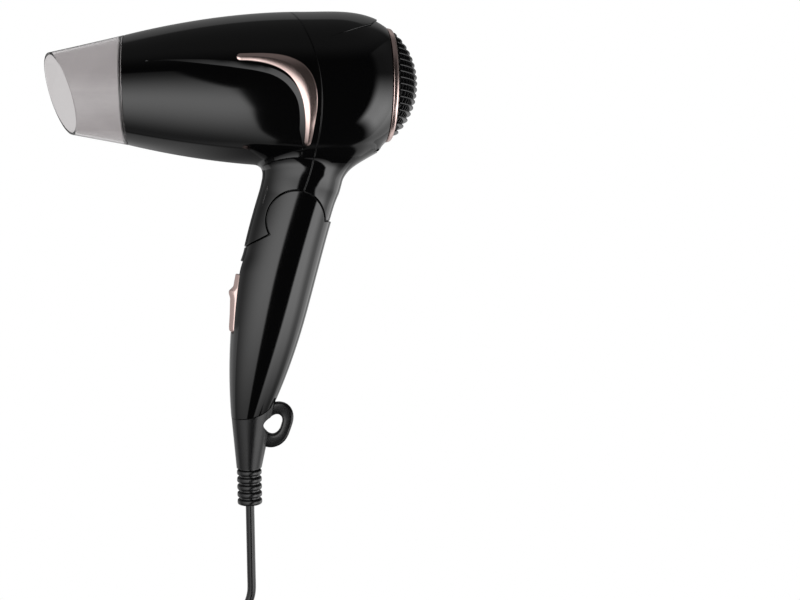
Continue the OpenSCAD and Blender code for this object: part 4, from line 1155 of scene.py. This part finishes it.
def panel(name, face, centre, pattern, lit):
    """Soft light: one face of a wide cube round the centre, whose brightness follows a pattern over
    directions and which lights only the named pieces."""
    out, side, up = np.array(FACES[face], float)
    data = bpy.data.lights.new(name, "AREA")
    data.shape = "SQUARE"
    data.size = CUBE
    data.energy = np.pi * CUBE ** 2
    data.use_nodes = True
    nodes = data.node_tree.nodes
    where, less = nodes.new("ShaderNodeNewGeometry"), nodes.new("ShaderNodeVectorMath")
    less.operation = "SUBTRACT"
    less.inputs[1].default_value = centre
    data.node_tree.links.new(where.outputs["Position"], less.inputs[0])
    field = Field(data.node_tree, less.outputs[0])
    field.put(nodes["Emission"].inputs["Strength"], pattern(field))
    lamp = added(name, data)
    turn_to(lamp, side, up, out, centre + CUBE / 2 * out)
    lamp.visible_camera = False
    group = bpy.data.collections.new(name + "_lit")
    for word in lit:
        group.objects.link(bpy.data.objects[word])
    lamp.light_linking.receiver_collection = group


def head_light(f):
    """A tall light to the left, brightest a little below level and rounded off towards the middle, and a low
    one to the right."""
    lean = f.calc("ADD", f.past(f.height, -35.0, 0.1), f.past(f.height, -4.0, 0.3))
    side = f.calc("SUBTRACT", f.aside, f.past(f.roll, 40.0, 0.0032))
    left = f.product(2.6, (f.calc("ADD", f.bearing, lean), -9.6, -7, 1, 0), (f.height, -24, 25, 1, 0.06),
                     (side, 0.065, 0.115, 0, 1), (f.height, 22, 25, 1, 0), (f.roll, 25, 100, 1, 0.07),
                     (f.roll, 107, 110, 1, 0))
    right = f.product(3.6, (f.bearing, 50, 63, 0, 1), (f.bearing, 80, 128, 1, 0.12),
                      (f.height, -28, 14, 1, 0.03), (f.height, -56, -40, 0, 1))
    return f.total(left, right)


def grip_light(f):
    """A wide light to the left with a leaning edge before the middle, and a low one to the right."""
    left = f.product(2.75, (f.bearing, -100, 0, 0.15, 1), (f.height, 4, 34, 1, 0.35),
                     (f.height, -30, 0, 0.28, 1), (f.height, -44, -34, 0, 1),
                     (f.slanted(0.45), -1, 2.5, 1, 0))
    right = f.product(3.7, (f.slanted(1.1), 46, 52, 0, 1), (f.bearing, 55, 85, 1, 0.4),
                      (f.height, -42, -10, 0.12, 1), (f.height, -5, 1, 1, 0))
    return f.total(left, right)


def slide_light(f):
    """A light in front, from a little below level up."""
    return f.product(1.1, (f.turned, 25, 60, 1, 0.05), (f.height, -30, -15, 0, 1))


def metal_light(_):
    """A faint even light."""
    return 0.4


sky()
floor()
TRIM = ["trim_left_blade", "trim_right_blade", "intake_ring_band"]
SLIDE = ["switch_slider_button"]
HEAD = ["front_shell_skin", "rear_shell_skin", "intake_grille_bars", "nozzle_shell"] + TRIM
CORD = ["mains_cord_line", "cord_tie_band", "plug_housing"]
GRIP = ["grip_left_skin", "grip_right_skin", "front_neck_skin", "rear_neck_skin", "cord_guard_collar",
        "grip_hinge_cap", "neck_hinge_socket", "cord_guard_boot"] + CORD
SIDES = ["front", "left", "right"]
for word, faces, centre, pattern, lit in (
        ("head_", SIDES + ["below"], (0, -0.03, 0.12), head_light, HEAD),
        ("grip_", SIDES, (0, -0.02, 0.03), grip_light, GRIP),
        ("metal_", SIDES, (0, -0.03, 0.1), metal_light, TRIM + SLIDE),
        ("slide_", SIDES[:2], (0, 0, 0.03), slide_light, SLIDE)):
    for face in faces:
        panel(word + face, face, centre, pattern, lit)
for name in CORD:
    bpy.data.objects[name].visible_glossy = False

bpy.context.scene.view_settings.view_transform = "Standard"
